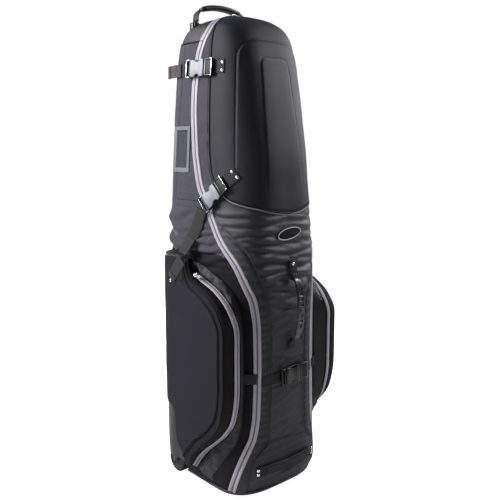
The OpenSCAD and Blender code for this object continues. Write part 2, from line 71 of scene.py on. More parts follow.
# ---- the body's surface, as the CAD states it ----

# height, half width at back and front, reach back and forward, squareness of back and front
SECTIONS = np.array([
    [22, 162, 160, 150, -146, 8, 3.6], [50, 167, 164, 157, -156, 9, 3.8],
    [120, 168, 155, 160, -162, 10, 3.8], [300, 168, 149, 160, -164, 10, 3.7],
    [550, 168, 145, 160, -164, 10, 3.6], [660, 172, 143, 160, -162, 10, 3.6],
    [760, 172, 137, 160, -158, 10, 3.4], [900, 161, 130, 160, -146, 10, 3.2],
    [1050, 152, 127, 160, -122, 9, 3.0], [1170, 141, 119, 157, -100, 8, 3.0],
    [1225, 136, 113, 152, -86, 7, 3.0], [1258, 124, 103, 142, -68, 6, 2.8],
    [1280, 100, 80, 122, -40, 4, 2.6], [1292, 60, 45, 90, -5, 3, 2.4], [1296, 1, 1, 21, 19, 2, 2]])
MID_Y = 20
# height, and how far the surface leans back there
LEAN = np.array([[0, 0], [1170, 0], [1225, 22], [1258, 45], [1280, 66], [1292, 84], [1296, 90]])
# height and bearing of the left half of the main zip
ZIP = np.array([
    [22, 219], [71, 223.3], [131, 229.9], [189, 236.5], [248, 238.8], [372, 239.7], [477, 239.3],
    [553, 236.4], [589, 231.8], [648, 223], [713, 206], [759, 196.5], [812, 186.7], [849, 178.5],
    [900, 173], [944, 170], [1104, 166], [1186, 168.5], [1227, 174], [1263, 180], [1296, 180]])
GAP = 2.4  # between the panels on either side of the main zip
REAR_PHI = 135  # the corner between the left side and the back
CROWN_Z = 1225  # the seam under the crown
CROWN_ROWS = [1291.5, 1293, 1294.3, 1295.2, 1295.8]
WALL = 3.6  # thickness of the cloth


def curve(x, table, column=1):
    """Smooth value at x through a table's rows, with no overshoot between them."""
    xs, ys = np.asarray(table, float)[:, 0], np.asarray(table, float)[:, column]
    slope = np.diff(ys) / np.diff(xs)
    product = slope[:-1] * slope[1:]
    inner = np.where(product > 0, 2 * product / np.where(product > 0, slope[:-1] + slope[1:], 1), 0)
    tangent = np.concatenate([slope[:1], inner, slope[-1:]])
    x = np.clip(np.asarray(x, float), xs[0], xs[-1])
    i = np.clip(np.searchsorted(xs, x, side="right") - 1, 0, len(xs) - 2)
    step = xs[i + 1] - xs[i]
    t = (x - xs[i]) / step
    return ((2 * t**3 - 3 * t**2 + 1) * ys[i] + (t**3 - 2 * t**2 + t) * step * tangent[i]
            + (3 * t**2 - 2 * t**3) * ys[i + 1] + (t**3 - t**2) * step * tangent[i + 1])


def through(table, t):
    """Smooth pairs of numbers through the rows of a table, t running from 0 to its last row."""
    table, keys = np.asarray(table, float), np.arange(len(table))
    return np.stack([curve(t, np.column_stack([keys, table[:, k]])) for k in (0, 1)], -1)


def smooth(t):
    t = np.clip(t, 0, 1)
    return t * t * (3 - 2 * t)


def near(values, target, width):
    return np.exp(-((values - target) / width)**2)


def mix(a, b, t):
    return a + (b - a) * t


def unit(v):
    v = np.asarray(v, float)
    return v / np.maximum(np.linalg.norm(v, axis=-1, keepdims=True), 1e-9)


def reach(z, phi, off=0):
    """Distance from the body's middle line to its surface."""
    s, c = np.sin(np.radians(phi)), np.cos(np.radians(phi))
    t = smooth((1 + s) / 2)
    half = mix(curve(z, SECTIONS, 2), curve(z, SECTIONS, 1), t) + off
    square = mix(curve(z, SECTIONS, 6), curve(z, SECTIONS, 5), t)
    back, front = curve(z, SECTIONS, 3) - MID_Y, MID_Y - curve(z, SECTIONS, 4)
    depth = np.where(s >= 0, back, front) + off
    return ((np.abs(c) / half)**square + (np.abs(s) / depth)**square)**(-1 / square)


def skin(z, phi, off=0.0):
    """Points on the body at heights and bearings, moved outwards by off."""
    z, phi, off = np.broadcast_arrays(np.asarray(z, float), np.asarray(phi, float), off)
    lean = np.radians(curve(z, LEAN))
    r = reach(z, phi, off * np.cos(lean))
    a = np.radians(phi)
    return np.stack([r * np.cos(a), MID_Y + r * np.sin(a), z + off * np.sin(lean)], -1)


def skin_normal(z, phi):
    z, phi = np.minimum(np.asarray(z, float), 1291), np.asarray(phi)
    around = skin(z, phi + 0.5) - skin(z, phi - 0.5)
    return unit(np.cross(around, skin(z + 0.8, phi) - skin(z - 0.8, phi)))


def zip_phi(z):
    return curve(z, ZIP)


def gap_phi(z):
    """Half the width of the zip's gap, as a bearing."""
    return GAP / 2 / np.maximum(reach(z, zip_phi(z)), 12) * RADIAN


def on_left(phi):
    """The same bearing, or its mirror image if it is on the right half of the front."""
    return 270 - np.abs(np.asarray(phi) - 270)


# ---- parts ----

def other_side(part):
    return (np.asarray(part[0]) * np.array([-1, 1, 1]), flipped(part[1]), *part[2:])


def flipped(faces):
    return [tuple(reversed(f)) for f in faces]


def placed(part, axes, origin):
    return (np.asarray(part[0]) @ axes + origin, *part[1:])


def moved(part, by):
    return (part[0] + np.asarray(by), *part[1:])


def join(*parts):
    """Several parts as one. Cloth coordinates that a part lacks are its y and z."""
    verts, faces, uvs, n = [], [], [], 0
    for part in parts:
        v = np.asarray(part[0], float).reshape(-1, 3)
        verts.append(v)
        faces += [tuple(k + n for k in f) for f in part[1]]
        uvs.append(part[2] if len(part) > 2 else v[:, [1, 2]])
        n += len(v)
    return np.concatenate(verts), faces, np.concatenate(uvs)


def slab(outer, inner):
    """A closed wall between two grids of points of the same size."""
    rows, columns = outer.shape[:2]
    n = rows * columns
    grid = np.arange(n).reshape(rows, columns)
    rim = np.concatenate([grid[::-1, 0], grid[0], grid[:, -1], grid[-1, ::-1]]).tolist()
    rim = [a for a, b in zip(rim, rim[1:] + rim[:1]) if a != b]
    faces = [(a, a + 1, a + columns + 1, a + columns) for a in grid[:-1, :-1].ravel().tolist()]
    faces += [tuple(n + k for k in reversed(f)) for f in faces]
    faces += [(b, a, a + n, b + n) for a, b in zip(rim, rim[1:] + rim[:1])]
    across = np.cumsum(np.linalg.norm(np.diff(outer, axis=1, prepend=outer[:, :1]), axis=2), axis=1)
    up = np.cumsum(np.linalg.norm(np.diff(outer, axis=0, prepend=outer[:1]), axis=2), axis=0)
    across -= across[:, [columns // 2]]
    uv = np.stack([across, np.broadcast_to(up[:, [columns // 2]], across.shape)], -1)
    return (np.concatenate([outer.reshape(-1, 3), inner.reshape(-1, 3)]), faces,
            np.concatenate([uv.reshape(-1, 2)] * 2))


def distances(path):
    return np.concatenate([[0], np.cumsum(np.linalg.norm(np.diff(path, axis=0), axis=1))])


def sweep(path, ups, section, closed=False):
    """A section of (across, above) points carried along a path."""
    path, ups, section = np.asarray(path, float), unit(ups), np.asarray(section, float)
    along = unit(np.gradient(path, axis=0))
    if closed:
        along = unit(np.roll(path, -1, 0) - np.roll(path, 1, 0))
    side = unit(np.cross(along, ups))
    up = np.cross(side, along)
    if section.ndim == 2:
        section = np.broadcast_to(section, (len(path), *section.shape))
    rings = path[:, None] + side[:, None] * section[..., :1] + up[:, None] * section[..., 1:]
    n, m = rings.shape[:2]
    faces = []
    for i in range(n if closed else n - 1):
        k = (i + 1) % n
        faces += [(i * m + j, k * m + j, k * m + (j + 1) % m, i * m + (j + 1) % m)
                  for j in range(m)]
    if not closed:
        faces += [tuple(range(m)), tuple(range((n - 1) * m, n * m))[::-1]]
    uv = np.stack([section[..., 0], np.broadcast_to(distances(path)[:, None], (n, m))], -1)
    return rings.reshape(-1, 3), faces, uv.reshape(-1, 2)


def flat_section(w0, w1, low, high, soft=0.8):
    """Section of a flat band with softened edges."""
    middle = mix(low, high, 0.4)
    return [(w1 - soft * 0.3, low), (w1, middle), (w1 - soft * 0.4, high - soft * 0.25),
            (w1 - soft * 1.6, high), (w0 + soft * 1.6, high), (w0 + soft * 0.4, high - soft * 0.25),
            (w0, middle), (w0 + soft * 0.3, low)]


def round_section(radius, lift=0.0, points=10):
    a = np.linspace(0, 2 * np.pi, points, endpoint=False)
    return np.stack([radius * np.cos(a), lift + radius * np.sin(a)], -1)


def strap(path, ups, width, thick=2.0, low=0.0):
    return sweep(path, ups, flat_section(-width / 2, width / 2, low, low + thick, 0.9))


def spaced(path, ups, step):
    """Points, directions and ups at even steps along a path."""
    path = np.asarray(path, float)
    ups = np.broadcast_to(np.asarray(ups, float), path.shape)
    run = distances(path)
    at = np.arange(step / 2, run[-1], step)

    def read(rows, where):
        return np.stack([np.interp(where, run, rows[:, k]) for k in range(3)], -1)

    point = read(path, at)
    return point, unit(read(path, at + 0.5) - point), unit(read(ups, at))


def blocks(points, ahead, ups, long, wide, low, high, shift=0.0):
    """Small bevelled blocks standing on a path, such as stitches or zip teeth."""
    side = unit(np.cross(ahead, ups))
    corners = [(-1, -1, low), (1, -1, low), (1, 1, low), (-1, 1, low),
               (-0.7, -0.7, high), (0.7, -0.7, high), (0.7, 0.7, high), (-0.7, 0.7, high)]
    verts = np.stack([points + ahead * (a * long / 2) + side * (b * wide / 2 + shift) + ups * h
                      for a, b, h in corners], 1)
    box = [(4, 5, 1, 0), (5, 6, 2, 1), (6, 7, 3, 2), (7, 4, 0, 3), (7, 6, 5, 4), (0, 1, 2, 3)]
    faces = [tuple(8 * i + k for k in f) for i in range(len(points)) for f in box]
    return verts.reshape(-1, 3), faces


def stitches(path, ups, low=0.1, high=0.8, long=3.4, gap=2.0, wide=1.1):
    return blocks(*spaced(path, ups, long + gap), long, wide, low, high)


def on_body(points, off=0.0, count=80):
    """Path and normals on the body through a few (height, bearing) points, smoothly."""
    z, phi = through(points, np.linspace(0, len(points) - 1, count)).T
    return skin(z, phi, off), skin_normal(z, phi)


def place(z, phi, spin=0.0, off=0.0):
    """Axes and origin of a fitting that stands on the body: local x runs towards the front."""
    out = skin_normal(z, phi)
    ahead = unit(np.cross([0, 0, 1], out))
    up = np.cross(out, ahead)
    c, s = math.cos(math.radians(spin)), math.sin(math.radians(spin))
    return np.array([ahead * c + up * s, up * c - ahead * s, out]), skin(z, phi, off)


def stacked(rings):
    """A solid of rings of points, from the lowest to the highest, closed at both ends."""
    n, m = len(rings), len(rings[0])
    faces = [(i * m + j, i * m + (j + 1) % m, (i + 1) * m + (j + 1) % m, (i + 1) * m + j)
             for i in range(n - 1) for j in range(m)]
    faces += [tuple(range(m))[::-1], tuple(range((n - 1) * m, n * m))]
    return np.concatenate(rings), faces


def extruded(outline, low, high, bevel=0.6):
    """A plate with rounded upper and lower edges, from its outline, which runs anticlockwise."""
    outline = np.asarray(outline, float)
    ahead = unit(np.roll(outline, -1, 0) - np.roll(outline, 1, 0))
    out = np.stack([ahead[:, 1], -ahead[:, 0]], -1)
    levels = [(low, -bevel), (low + bevel * 0.3, -bevel * 0.3), (low + bevel, 0), (high - bevel, 0),
              (high - bevel * 0.3, -bevel * 0.3), (high, -bevel)]
    return stacked([np.column_stack([outline + out * d, np.full(len(outline), h)])
                    for h, d in levels])


def turned(profile, steps=28):
    """A solid of revolution about local z from (radius, height) points."""
    a = np.linspace(0, 2 * np.pi, steps, endpoint=False)
    return stacked([np.stack([r * np.cos(a), r * np.sin(a), np.full(steps, h)], -1)
                    for r, h in profile])


def around(part, count):
    """Copies of a part at even turns about local z."""
    for k in range(count):
        c, s = math.cos(2 * math.pi * k / count), math.sin(2 * math.pi * k / count)
        yield part[0] @ np.array([[c, s, 0], [-s, c, 0], [0, 0, 1]]), part[1]


def rounded_box(size, centre=(0, 0, 0), r=1.0):
    x, y, z = np.asarray(size) / 2
    corners = [(sx * (x - r) + r * math.cos(a), sy * (y - r) + r * math.sin(a))
               for sx, sy, start in ((1, 1, 0), (-1, 1, 90), (-1, -1, 180), (1, -1, 270))
               for a in np.radians([start, start + 30, start + 60, start + 90])]
    return moved(extruded(corners, -z, z, min(r, z) * 0.7), centre)


# ---- pieces ----


def make(name, part, material, body, stands_for=""):
    """One piece, which may stand for CAD nodes, given as words."""
    points, faces, uv = (*part, None)[:3]
    mesh = bpy.data.meshes.new(name)
    mesh.from_pydata((np.asarray(points, float).reshape(-1, 3) * MM).tolist(), [], faces)
    if uv is not None:
        layer = mesh.uv_layers.new(name="cloth")
        corner = np.zeros(len(mesh.loops), dtype=np.int32)
        mesh.loops.foreach_get("vertex_index", corner)
        layer.data.foreach_set("uv", (np.asarray(uv, float).reshape(-1, 2)[corner] * MM).ravel())
    mesh.polygons.foreach_set("use_smooth", [True] * len(mesh.polygons))
    mesh.materials.append(material)
    mesh.validate()
    piece = bpy.data.objects.new(name, mesh)
    bpy.context.scene.collection.objects.link(piece)
    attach(piece, body)
    if stands_for:
        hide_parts(*stands_for.split())
    return piece


def sides(name, part, material, body, stands_for=""):
    """A piece on the left and its mirror image on the right. {} in a body or a node is the side,
    and the left piece stands for a node that holds both sides."""
    pair = []
    for side, one in (("left", part), ("right", other_side(part))):
        nodes = stands_for if side == "left" or "{}" in stands_for else ""
        pair.append(make(f"{name}_{side}", one, material, body.format(side), nodes.format(side)))
    return pair


def line_inside(piece):
    """Gives the inner face of a fabric wall its lining."""
    piece.data.materials.append(LINING)
    outer_points = len(piece.data.vertices) // 2
    for face in piece.data.polygons:
        if min(face.vertices) >= outer_points:
            face.material_index = 1


def paint(piece, material, where):
    """Gives a wall another material on its outer face, where the grid of its points says so."""
    piece.data.materials.append(material)
    index = len(piece.data.materials) - 1
    for face, chosen in zip(piece.data.polygons, where[:-1, :-1].ravel()):
        if chosen:
            face.material_index = index


# ---- materials ----

def new_node(nodes, kind, values=(), **settings):
    """A node with fixed values for some of its inputs."""
    node = nodes.new("ShaderNode" + kind)
    for key, value in settings.items():
        setattr(node, key, value)
    for key, value in dict(values).items():
        node.inputs[key].default_value = value
    return node


def shader(name, values):
    material = bpy.data.materials.new(name)
    material.use_nodes = True
    nodes = material.node_tree.nodes
    out = nodes["Principled BSDF"]
    for key, value in values.items():
        out.inputs[key].default_value = value
    return material, nodes, material.node_tree.links, out


def textured(name, colour, spread, rough, fine, coarse, bump, sheen=0.0, metal=0.0, weave=0.0,
             ribs=0.0, gloss=0.5):
    """Colour that varies at two scales, an optional weave in cloth coordinates, and a bump."""
    material, nodes, links, out = shader(name, {
        "Metallic": metal, "Specular IOR Level": gloss, "Sheen Weight": sheen,
        "Sheen Roughness": 0.45})
    where = new_node(nodes, "TexCoord")
    cloud = new_node(nodes, "TexNoise", {"Scale": coarse, "Detail": 4})
    grain = new_node(nodes, "TexNoise", {"Scale": fine, "Detail": 3})
    links.new(where.outputs["Object"], cloud.inputs["Vector"])
    links.new(where.outputs["Object"], grain.inputs["Vector"])
    half = new_node(nodes, "Math", {1: 0.5}, operation="MULTIPLY")
    links.new(grain.outputs["Fac"], half.inputs[0])
    both = new_node(nodes, "Math", {1: 0.5}, operation="MULTIPLY_ADD")
    links.new(cloud.outputs["Fac"], both.inputs[0])
    links.new(half.outputs[0], both.inputs[2])
    ramp = new_node(nodes, "ValToRGB")
    for end, position, change in zip(ramp.color_ramp.elements, (0.3, 0.7), (-spread, spread)):
        end.position = position
        end.color = (*[c * (1 + change) for c in colour], 1)
    links.new(both.outputs[0], ramp.inputs["Fac"])
    links.new(ramp.outputs["Color"], out.inputs["Base Color"])
    height = both.outputs[0]
    if weave or ribs:
        height = woven(nodes, links, where, height, weave, ribs)
    raised = new_node(nodes, "Bump", {"Strength": bump, "Distance": 0.0006})
    links.new(height, raised.inputs["Height"])
    links.new(raised.outputs["Normal"], out.inputs["Normal"])
    uneven = new_node(nodes, "MapRange", {"To Min": max(rough - 0.08, 0.03),
                                          "To Max": min(rough + 0.08, 1)})
    links.new(cloud.outputs["Fac"], uneven.inputs["Value"])
    links.new(uneven.outputs["Result"], out.inputs["Roughness"])
    return material


def woven(nodes, links, where, height, weave, ribs):
    """Threads over and under each other, or ribs along the cloth, added to a height."""
    waves = []
    for direction, pitch in (("X", weave or ribs), ("Y", weave)):
        if pitch:
            # a wave texture of scale 0.314 repeats about once to a unit
            wave = new_node(nodes, "TexWave", {"Scale": 0.314 / (pitch * MM), "Distortion": 0.15},
                            bands_direction=direction)
            links.new(where.outputs["UV"], wave.inputs["Vector"])
            waves.append(wave.outputs["Fac"])
    total = new_node(nodes, "Math", operation="MULTIPLY" if len(waves) == 2 else "MAXIMUM")
    links.new(waves[0], total.inputs[0])
    links.new(waves[-1], total.inputs[1])
    added = new_node(nodes, "Math", operation="ADD")
    links.new(total.outputs[0], added.inputs[0])
    links.new(height, added.inputs[1])
    return added.outputs[0]


# name, colour, its spread, roughness, scales of the fine and coarse noise, bump
SIDE_FABRIC = textured("side_fabric", (0.041, 0.039, 0.053), 0.22, 0.72, 900, 14, 0.6, sheen=0.05,
                       weave=1.5, gloss=0.2)
FRONT_FABRIC = textured("front_fabric", (0.0115, 0.0115, 0.018), 0.25, 0.44, 900, 14, 0.6,
                        sheen=0.01, weave=1.5, gloss=0.38)
POCKET_FABRIC = textured("pocket_fabric", (0.0105, 0.0095, 0.0155), 0.2, 0.78, 800, 12, 0.5,
                         sheen=0.02, weave=1.3, gloss=0.1)
TRIM_FABRIC = textured("trim_fabric", (0.0055, 0.0045, 0.0075), 0.25, 0.68, 900, 20, 0.5,
                       sheen=0.01, weave=1.2, gloss=0.12)
WALL_FABRIC = textured("wall_fabric", (0.006, 0.0055, 0.008), 0.25, 0.44, 900, 14, 0.6, sheen=0.01,
                       weave=1.4, gloss=0.38)
SHELL_FABRIC = textured("shell_fabric", (0.0105, 0.0105, 0.0175), 0.15, 0.56, 1200, 10, 0.35,
                        sheen=0.01, weave=0.9, gloss=0.2)
LINING = textured("lining", (0.09, 0.09, 0.095), 0.2, 0.8, 700, 16, 0.4, sheen=0.1, weave=1.1,
                  gloss=0.2)
ZIP_TAPE = textured("zip_tape", (0.33, 0.305, 0.355), 0.14, 0.42, 900, 25, 0.5, sheen=0.2, ribs=1.6)
ZIP_COIL = textured("zip_coil", (0.19, 0.178, 0.205), 0.2, 0.38, 900, 30, 0.2)
WEBBING = textured("webbing", (0.010, 0.0095, 0.010), 0.25, 0.6, 700, 25, 0.9, sheen=0.04,
                   weave=2.2, gloss=0.25)
# a lighter copy of the webbing for the loose strap end: painted light where the left soft box falls
# on it
LIT_WEBBING = textured("lit_webbing", (0.050, 0.044, 0.047), 0.3, 0.7, 700, 25, 0.9, sheen=0.1,
                        weave=2.2, gloss=0.25)
BINDING = textured("binding", (0.075, 0.073, 0.082), 0.25, 0.55, 800, 20, 0.7, sheen=0.2, weave=1.6)
CARD_TRIM = textured("card_trim", (0.105, 0.108, 0.125), 0.2, 0.55, 800, 20, 0.6, weave=1.6)
THREAD = textured("thread", (0.42, 0.42, 0.46), 0.2, 0.6, 900, 30, 0.5)
DARK_THREAD = textured("dark_thread", (0.005, 0.005, 0.006), 0.2, 0.6, 900, 30, 0.5, gloss=0.2)
BLACK_PLASTIC = textured("black_plastic", (0.006, 0.006, 0.007), 0.2, 0.32, 500, 20, 0.12,
                         gloss=0.4)
GREY_PLASTIC = textured("grey_plastic", (0.026, 0.0235, 0.024), 0.2, 0.45, 420, 18, 0.2, gloss=0.3)
# pale grey that stands for light: a painted reflection on the faces of the side buckles and painted
# highlights on the lower clip's edges
PAINTED_HIGHLIGHT_GREY = textured("silver_plastic", (0.17, 0.18, 0.21), 0.08, 0.5, 500, 20, 0.12)
STEEL = textured("steel", (0.76, 0.76, 0.79), 0.08, 0.18, 300, 30, 0.05, metal=1.0)
RUBBER = textured("tyre_rubber", (0.010, 0.010, 0.010), 0.3, 0.6, 300, 30, 0.3, gloss=0.3)
HANDLE_RUBBER = textured("handle_rubber", (0.012, 0.012, 0.013), 0.2, 0.28, 500, 20, 0.12,
                         gloss=0.7)
FOAM = textured("foam", (0.06, 0.06, 0.064), 0.2, 0.85, 260, 40, 0.5)
VINYL = textured("clear_vinyl", (0.030, 0.030, 0.039), 0.15, 0.6, 60, 12, 0.35, gloss=0.12)


# ---- folds and seams in fabric ----

def creases(z, phi, folds):
    """Height of a set of folds. Each is (height, bearing, slope in degrees, length, width, depth),
    and a fold is a wavering valley between a high soft ridge above it and a low one below it."""
    total = np.zeros(np.broadcast(z, phi).shape)
    for z0, phi0, slope, length, width, depth in folds:
        c, s = math.cos(math.radians(slope)), math.sin(math.radians(slope))
        across = (phi - phi0) * ARC
        up = z - z0 + 0.32 * width * np.sin(across / 17 + z0) + 3.2 * np.sin(across / 47 + 2 * z0)
        along, beside = across * c + up * s, up * c - across * s
        fade = np.exp(-(along / (length / 2))**4) * (1 + 0.25 * np.sin(along / 29 + phi0))
        valley = np.exp(-np.abs(beside / (0.8 * width))**1.6)
        above = near(beside, 1.8 * width, 1.3 * width)
        below = near(beside, -2.1 * width, 1.7 * width)
        total += depth * fade * (0.85 * above + 0.35 * below - valley)
    return total


def scattered(count, heights, bearings, slope, length, width, depth):
    """Random folds over a stretch of the body, each range given as (lowest, highest)."""
    return [tuple(rng.uniform(*span) for span in (heights, bearings, slope, length, width, depth))
            for _ in range(count)]


def puff(z, phi, size=70, depth=1.0, shift=0.0):
    """Slow unevenness of soft cloth."""
    a, b = np.asarray(phi) * ARC / size * 2.1 + shift, np.asarray(z) / size * 2.1
    return depth * (np.sin(a + 1.7 * np.sin(b * 0.7)) * np.cos(b + 1.3 * np.sin(a * 0.6)))


def edge_soft(u, drop):
    """How far a panel dips close to its two side edges, with u from 0 to 1 over its columns."""
    return -drop * (1 - smooth(np.minimum(u, 1 - u) * u.size / 2.5))


def inside_edges(u, steep):
    """1 over a panel, falling to 0 at its two side edges."""
    return smooth(u * steep) * smooth((1 - u) * steep)


# ---- rear half ----

SIDE_FOLDS = [
    (716, 146, -34, 90, 13, 6.0), (668, 152, -22, 130, 12, 5.0), (756, 156, 20, 90, 10, 3.4),
    (690, 178, -3, 110, 6, 4.4), (668, 196, 6, 120, 6, 4.2), (716, 192, 10, 90, 6, 3.2),
    (646, 206, 14, 90, 6, 3.4), (742, 186, -8, 60, 6, 2.6), (700, 204, 26, 70, 6, 2.6),
    (788, 158, -5, 80, 6, 2.2), (838, 166, -24, 70, 6, 2.2), (880, 148, -30, 60, 6, 1.6),
    *scattered(22, (630, 860), (156, 208), (-22, 18), (40, 110), (3.5, 7), (0.6, 1.7))]
# bearing, and the height below which the side is black there: black trim beside the zip, carried up
# over the side above the pocket as painted shade
TRIM_AND_SHADE_BELOW = np.array([[140, 668], [196, 672], [215, 664], [235, 640], [262, 600]])


def side_off(z, phi):
    waist = np.clip(near(z, 730, 150), 0, 1)
    off = creases(z, phi, SIDE_FOLDS) * (0.12 + waist) + puff(z, phi, 85, 0.8)
    # a seam down the side near the back, and one across above the pocket
    off -= 1.6 * near(phi, 147, 0.8) * (z > 650) + 1.3 * near(z, 806, 3) * (phi > 147)
    # under the pocket the cloth is flat, and between its wall and the main zip it is tucked
    tucked = 1.7 * np.sin((z + 1.1 * phi) / 6.5 + 1.3 * np.sin(z / 41)) * smooth((phi - 228) / 5)
    return np.where(z < 620, np.minimum(off, 0.6) - 0.6 + tucked * smooth((620 - z) / 40), off)


def side_panels():
    u = np.linspace(0, 1, 44)[None]
    z = np.concatenate([np.arange(22, CROWN_Z, 4.0), [CROWN_Z]])[:, None]
    phi = mix(REAR_PHI + 0.2, zip_phi(z) - gap_phi(z), u)
    outer = skin(z, phi, side_off(z, phi) * inside_edges(u, 9) + edge_soft(u, 0.8))
    for side in sides("side_fabric", slab(outer, skin(z, phi, -WALL)), SIDE_FABRIC, "case",
                      "side_panel_{}"):
        line_inside(side)
        # the strip between the pocket and the main zip is black trim, and the black reaching higher
        # up the side is painted shade
        paint(side, TRIM_FABRIC, z < np.interp(phi, *TRIM_AND_SHADE_BELOW.T))
    lines = [stitches(*on_body(points, 0.5, 60))
             for points in ([[812, 148.5], [900, 148.3], [1050, 148], [1215, 148]],
                            [[809.5, 149], [809.5, 165], [809.5, 184]])]
    sides("side_stitching", join(*lines), DARK_THREAD, "case")


def back_panel():
    z = np.concatenate([np.arange(26, CROWN_Z, 6.0), [CROWN_Z]])[:, None]
    u = np.linspace(0, 1, 62)[None]
    phi = mix(180 - REAR_PHI, REAR_PHI, u)
    off = puff(z, phi, 95, 0.7, 2) * inside_edges(u, 12)
    # the back's seams form a tall frame
    off = off - 1.4 * near(phi, 66, 0.7) - 1.4 * near(phi, 114, 0.7)
    off = off - 1.5 * near(z, 1010, 3) - 1.5 * near(z, 262, 3)
    outer = skin(z, phi, off + edge_soft(u, 1))
    piece = make("back_fabric", slab(outer, skin(z, phi, -WALL)), FRONT_FABRIC, "case",
                 "back_panel")
    line_inside(piece)
    # the corner seams, piped, between the back and the sides
    path, ups = on_body([[z, REAR_PHI] for z in (30, 400, 800, 1225)], 0, 150)
    sides("back_corner_piping", sweep(path, ups, round_section(2.1, 0.6)), TRIM_FABRIC, "case")
    lines = [stitches(*on_body([[z, 66], [z, 90], [z, 114]], 0.3, 50)) for z in (1014, 266)]
    lines += [stitches(*on_body([[270, a], [640, a], [1006, a]], 0.3, 90)) for a in (65, 115)]
    make("back_stitching", join(*lines), THREAD, "case")


def rear_dome():
    z = np.concatenate([np.linspace(1226, 1290, 24), CROWN_ROWS])[:, None]
    u = np.linspace(0, 1, 90)[None]
    phi = mix(180 - zip_phi(z) + gap_phi(z), zip_phi(z) - gap_phi(z), u)
    outer = skin(z, phi, edge_soft(u, 0.8) + puff(z, phi, 60, 0.4))
    piece = make("rear_crown", slab(outer, skin(z, phi, -WALL)), FRONT_FABRIC, "case", "rear_dome")
    line_inside(piece)
    # the seam that joins the crown to the sides and back
    z, end = CROWN_Z + 0.5, zip_phi(CROWN_Z)
    a = np.linspace(180 - end + 0.5, end - 0.5, 140)
    piping = sweep(skin(z, a, 0.2), skin_normal(z, a), round_section(1.6, 0.5))
    make("crown_piping", piping, TRIM_FABRIC, "case")


# ---- main zip ----

def main_zip_path():
    """The middle of the main zip from its left foot, over the crown, to its right foot."""
    z = np.concatenate([np.linspace(24, CROWN_Z, 352), np.linspace(1228, 1291, 34)])
    left = skin(z, zip_phi(z)), skin_normal(z, zip_phi(z))
    end = left[0][-1][0] + 3
    x = np.linspace(end, -end, 26)
    top = np.stack([x, np.full(26, MID_Y), 1294.2 - 2.6 * (x / 52)**2], -1)
    top_up = unit(np.stack([x / 260, np.zeros(26), np.ones(26)], -1))
    return [np.concatenate([rows, over, (rows * np.array([-1, 1, 1]))[::-1]])
            for rows, over in zip(left, (top, top_up))]


def main_zip():
    path, ups = main_zip_path()
    # the tapes are widest where the case is narrow
    edge = 11 + 1.0 * smooth((path[:, 2] - 620) / 300)
    inner = np.tile([(1.0, -0.3), (1.0, 0.9), (1.9, 1.3), (2.6, 1.1), (3.4, 1.6)],
                    (len(path), 1, 1))
    outer = np.stack([np.stack([edge - back, np.full(len(path), h)], -1)
                      for back, h in ((3.2, 2.1), (1.4, 1.9), (0.3, 1.0), (0.0, -0.3))], 1)
    point, ahead, up = spaced(path, ups, 3.2)
    for name, body, turn in (("rear", "case", -1), ("front", "door", 1)):
        section = np.concatenate([inner, outer], 1) * np.array([turn, 1])
        make(f"main_zip_tape_{name}", sweep(path, ups, section[:, ::-turn]), ZIP_TAPE, body,
             f"main_zip_{name}")
        teeth = blocks(point + ahead * (0.8 * turn), ahead, up, 1.7, 2.0, 0.2, 1.9, turn * 1.1)
        cord = sweep(path, ups, round_section(0.6, 1.1, 8) + np.array([turn * 1.6, 0]))
        make(f"main_zip_coil_{name}", join(teeth, cord), ZIP_COIL, body)


# ---- door ----

# height and bearing of the seam beside the main zip, and of the shell's side edge
FRONT_SEAM = np.array([[24, 232.4], [60, 232.8], [107, 234.5], [143, 242.7], [163, 248.3],
                       [300, 250.2], [443, 250.6], [510, 249.5], [580, 245.7], [621, 240.1],
                       [684, 230.6], [723, 218.1], [745, 209]])
SHELL_SEAM = np.array([[852, 202], [870, 197.5], [892, 194], [962, 190.8], [1064, 190.2],
                       [1200, 189.2], [1258, 189.5], [1296, 190]])
# bearing and height of the shell's lower edge, which meets its side edge at SHELL_Z
SHELL_FOOT = np.array([[202, 852], [208, 834], [217, 817], [228, 806], [242, 796], [258, 784],
                       [270, 779]])
SHELL_Z, SHELL_TOP = 852, CROWN_ROWS[-1]
FRONT_FOLDS = [
    (770, 222, 0, 130, 6, 4.2), (757, 262, 4, 170, 6, 3.6), (744, 236, 2, 150, 6, 3.6),
    (722, 244, 5, 170, 7, 4.6), (700, 258, -3, 150, 7, 4.4), (684, 234, -4, 100, 6, 3.4),
    (676, 284, 6, 150, 7, 4.4), (654, 262, 2, 170, 8, 5.0), (636, 286, -6, 110, 7, 4.0),
    (624, 250, -2, 110, 7, 3.6), (602, 268, 3, 150, 8, 4.4), (578, 258, -7, 120, 8, 3.6),
    (560, 290, 8, 120, 8, 3.8), (528, 268, -12, 110, 8, 3.2), (500, 292, 12, 90, 8, 3.2),
    (470, 260, 24, 90, 8, 2.6), (430, 290, -18, 90, 8, 2.2), (706, 300, 4, 110, 9, 2.6),
    (736, 294, -6, 110, 8, 2.6), (648, 304, 5, 90, 10, 2.2), (590, 300, -8, 90, 9, 2.2),
    (400, 258, -30, 80, 7, 2.2), (376, 276, 10, 110, 7, 2.2), (322, 268, 4, 130, 7, 2.4),
    (300, 284, -12, 90, 7, 1.8), (206, 262, 10, 90, 8, 1.6), (184, 284, -6, 110, 7, 1.8),
    (138, 262, 3, 160, 6, 2.6), (118, 276, -3, 170, 6, 2.4), (58, 262, 4, 160, 6, 2.2),
    (42, 280, -4, 130, 6, 2.0),
    *scattered(54, (480, 780), (212, 300), (-14, 14), (35, 120), (3.2, 6.5), (0.7, 2.0)),
    *scattered(26, (30, 480), (250, 292), (-35, 35), (35, 100), (4, 8), (0.4, 1.2))]
BADGE = (726, 271)


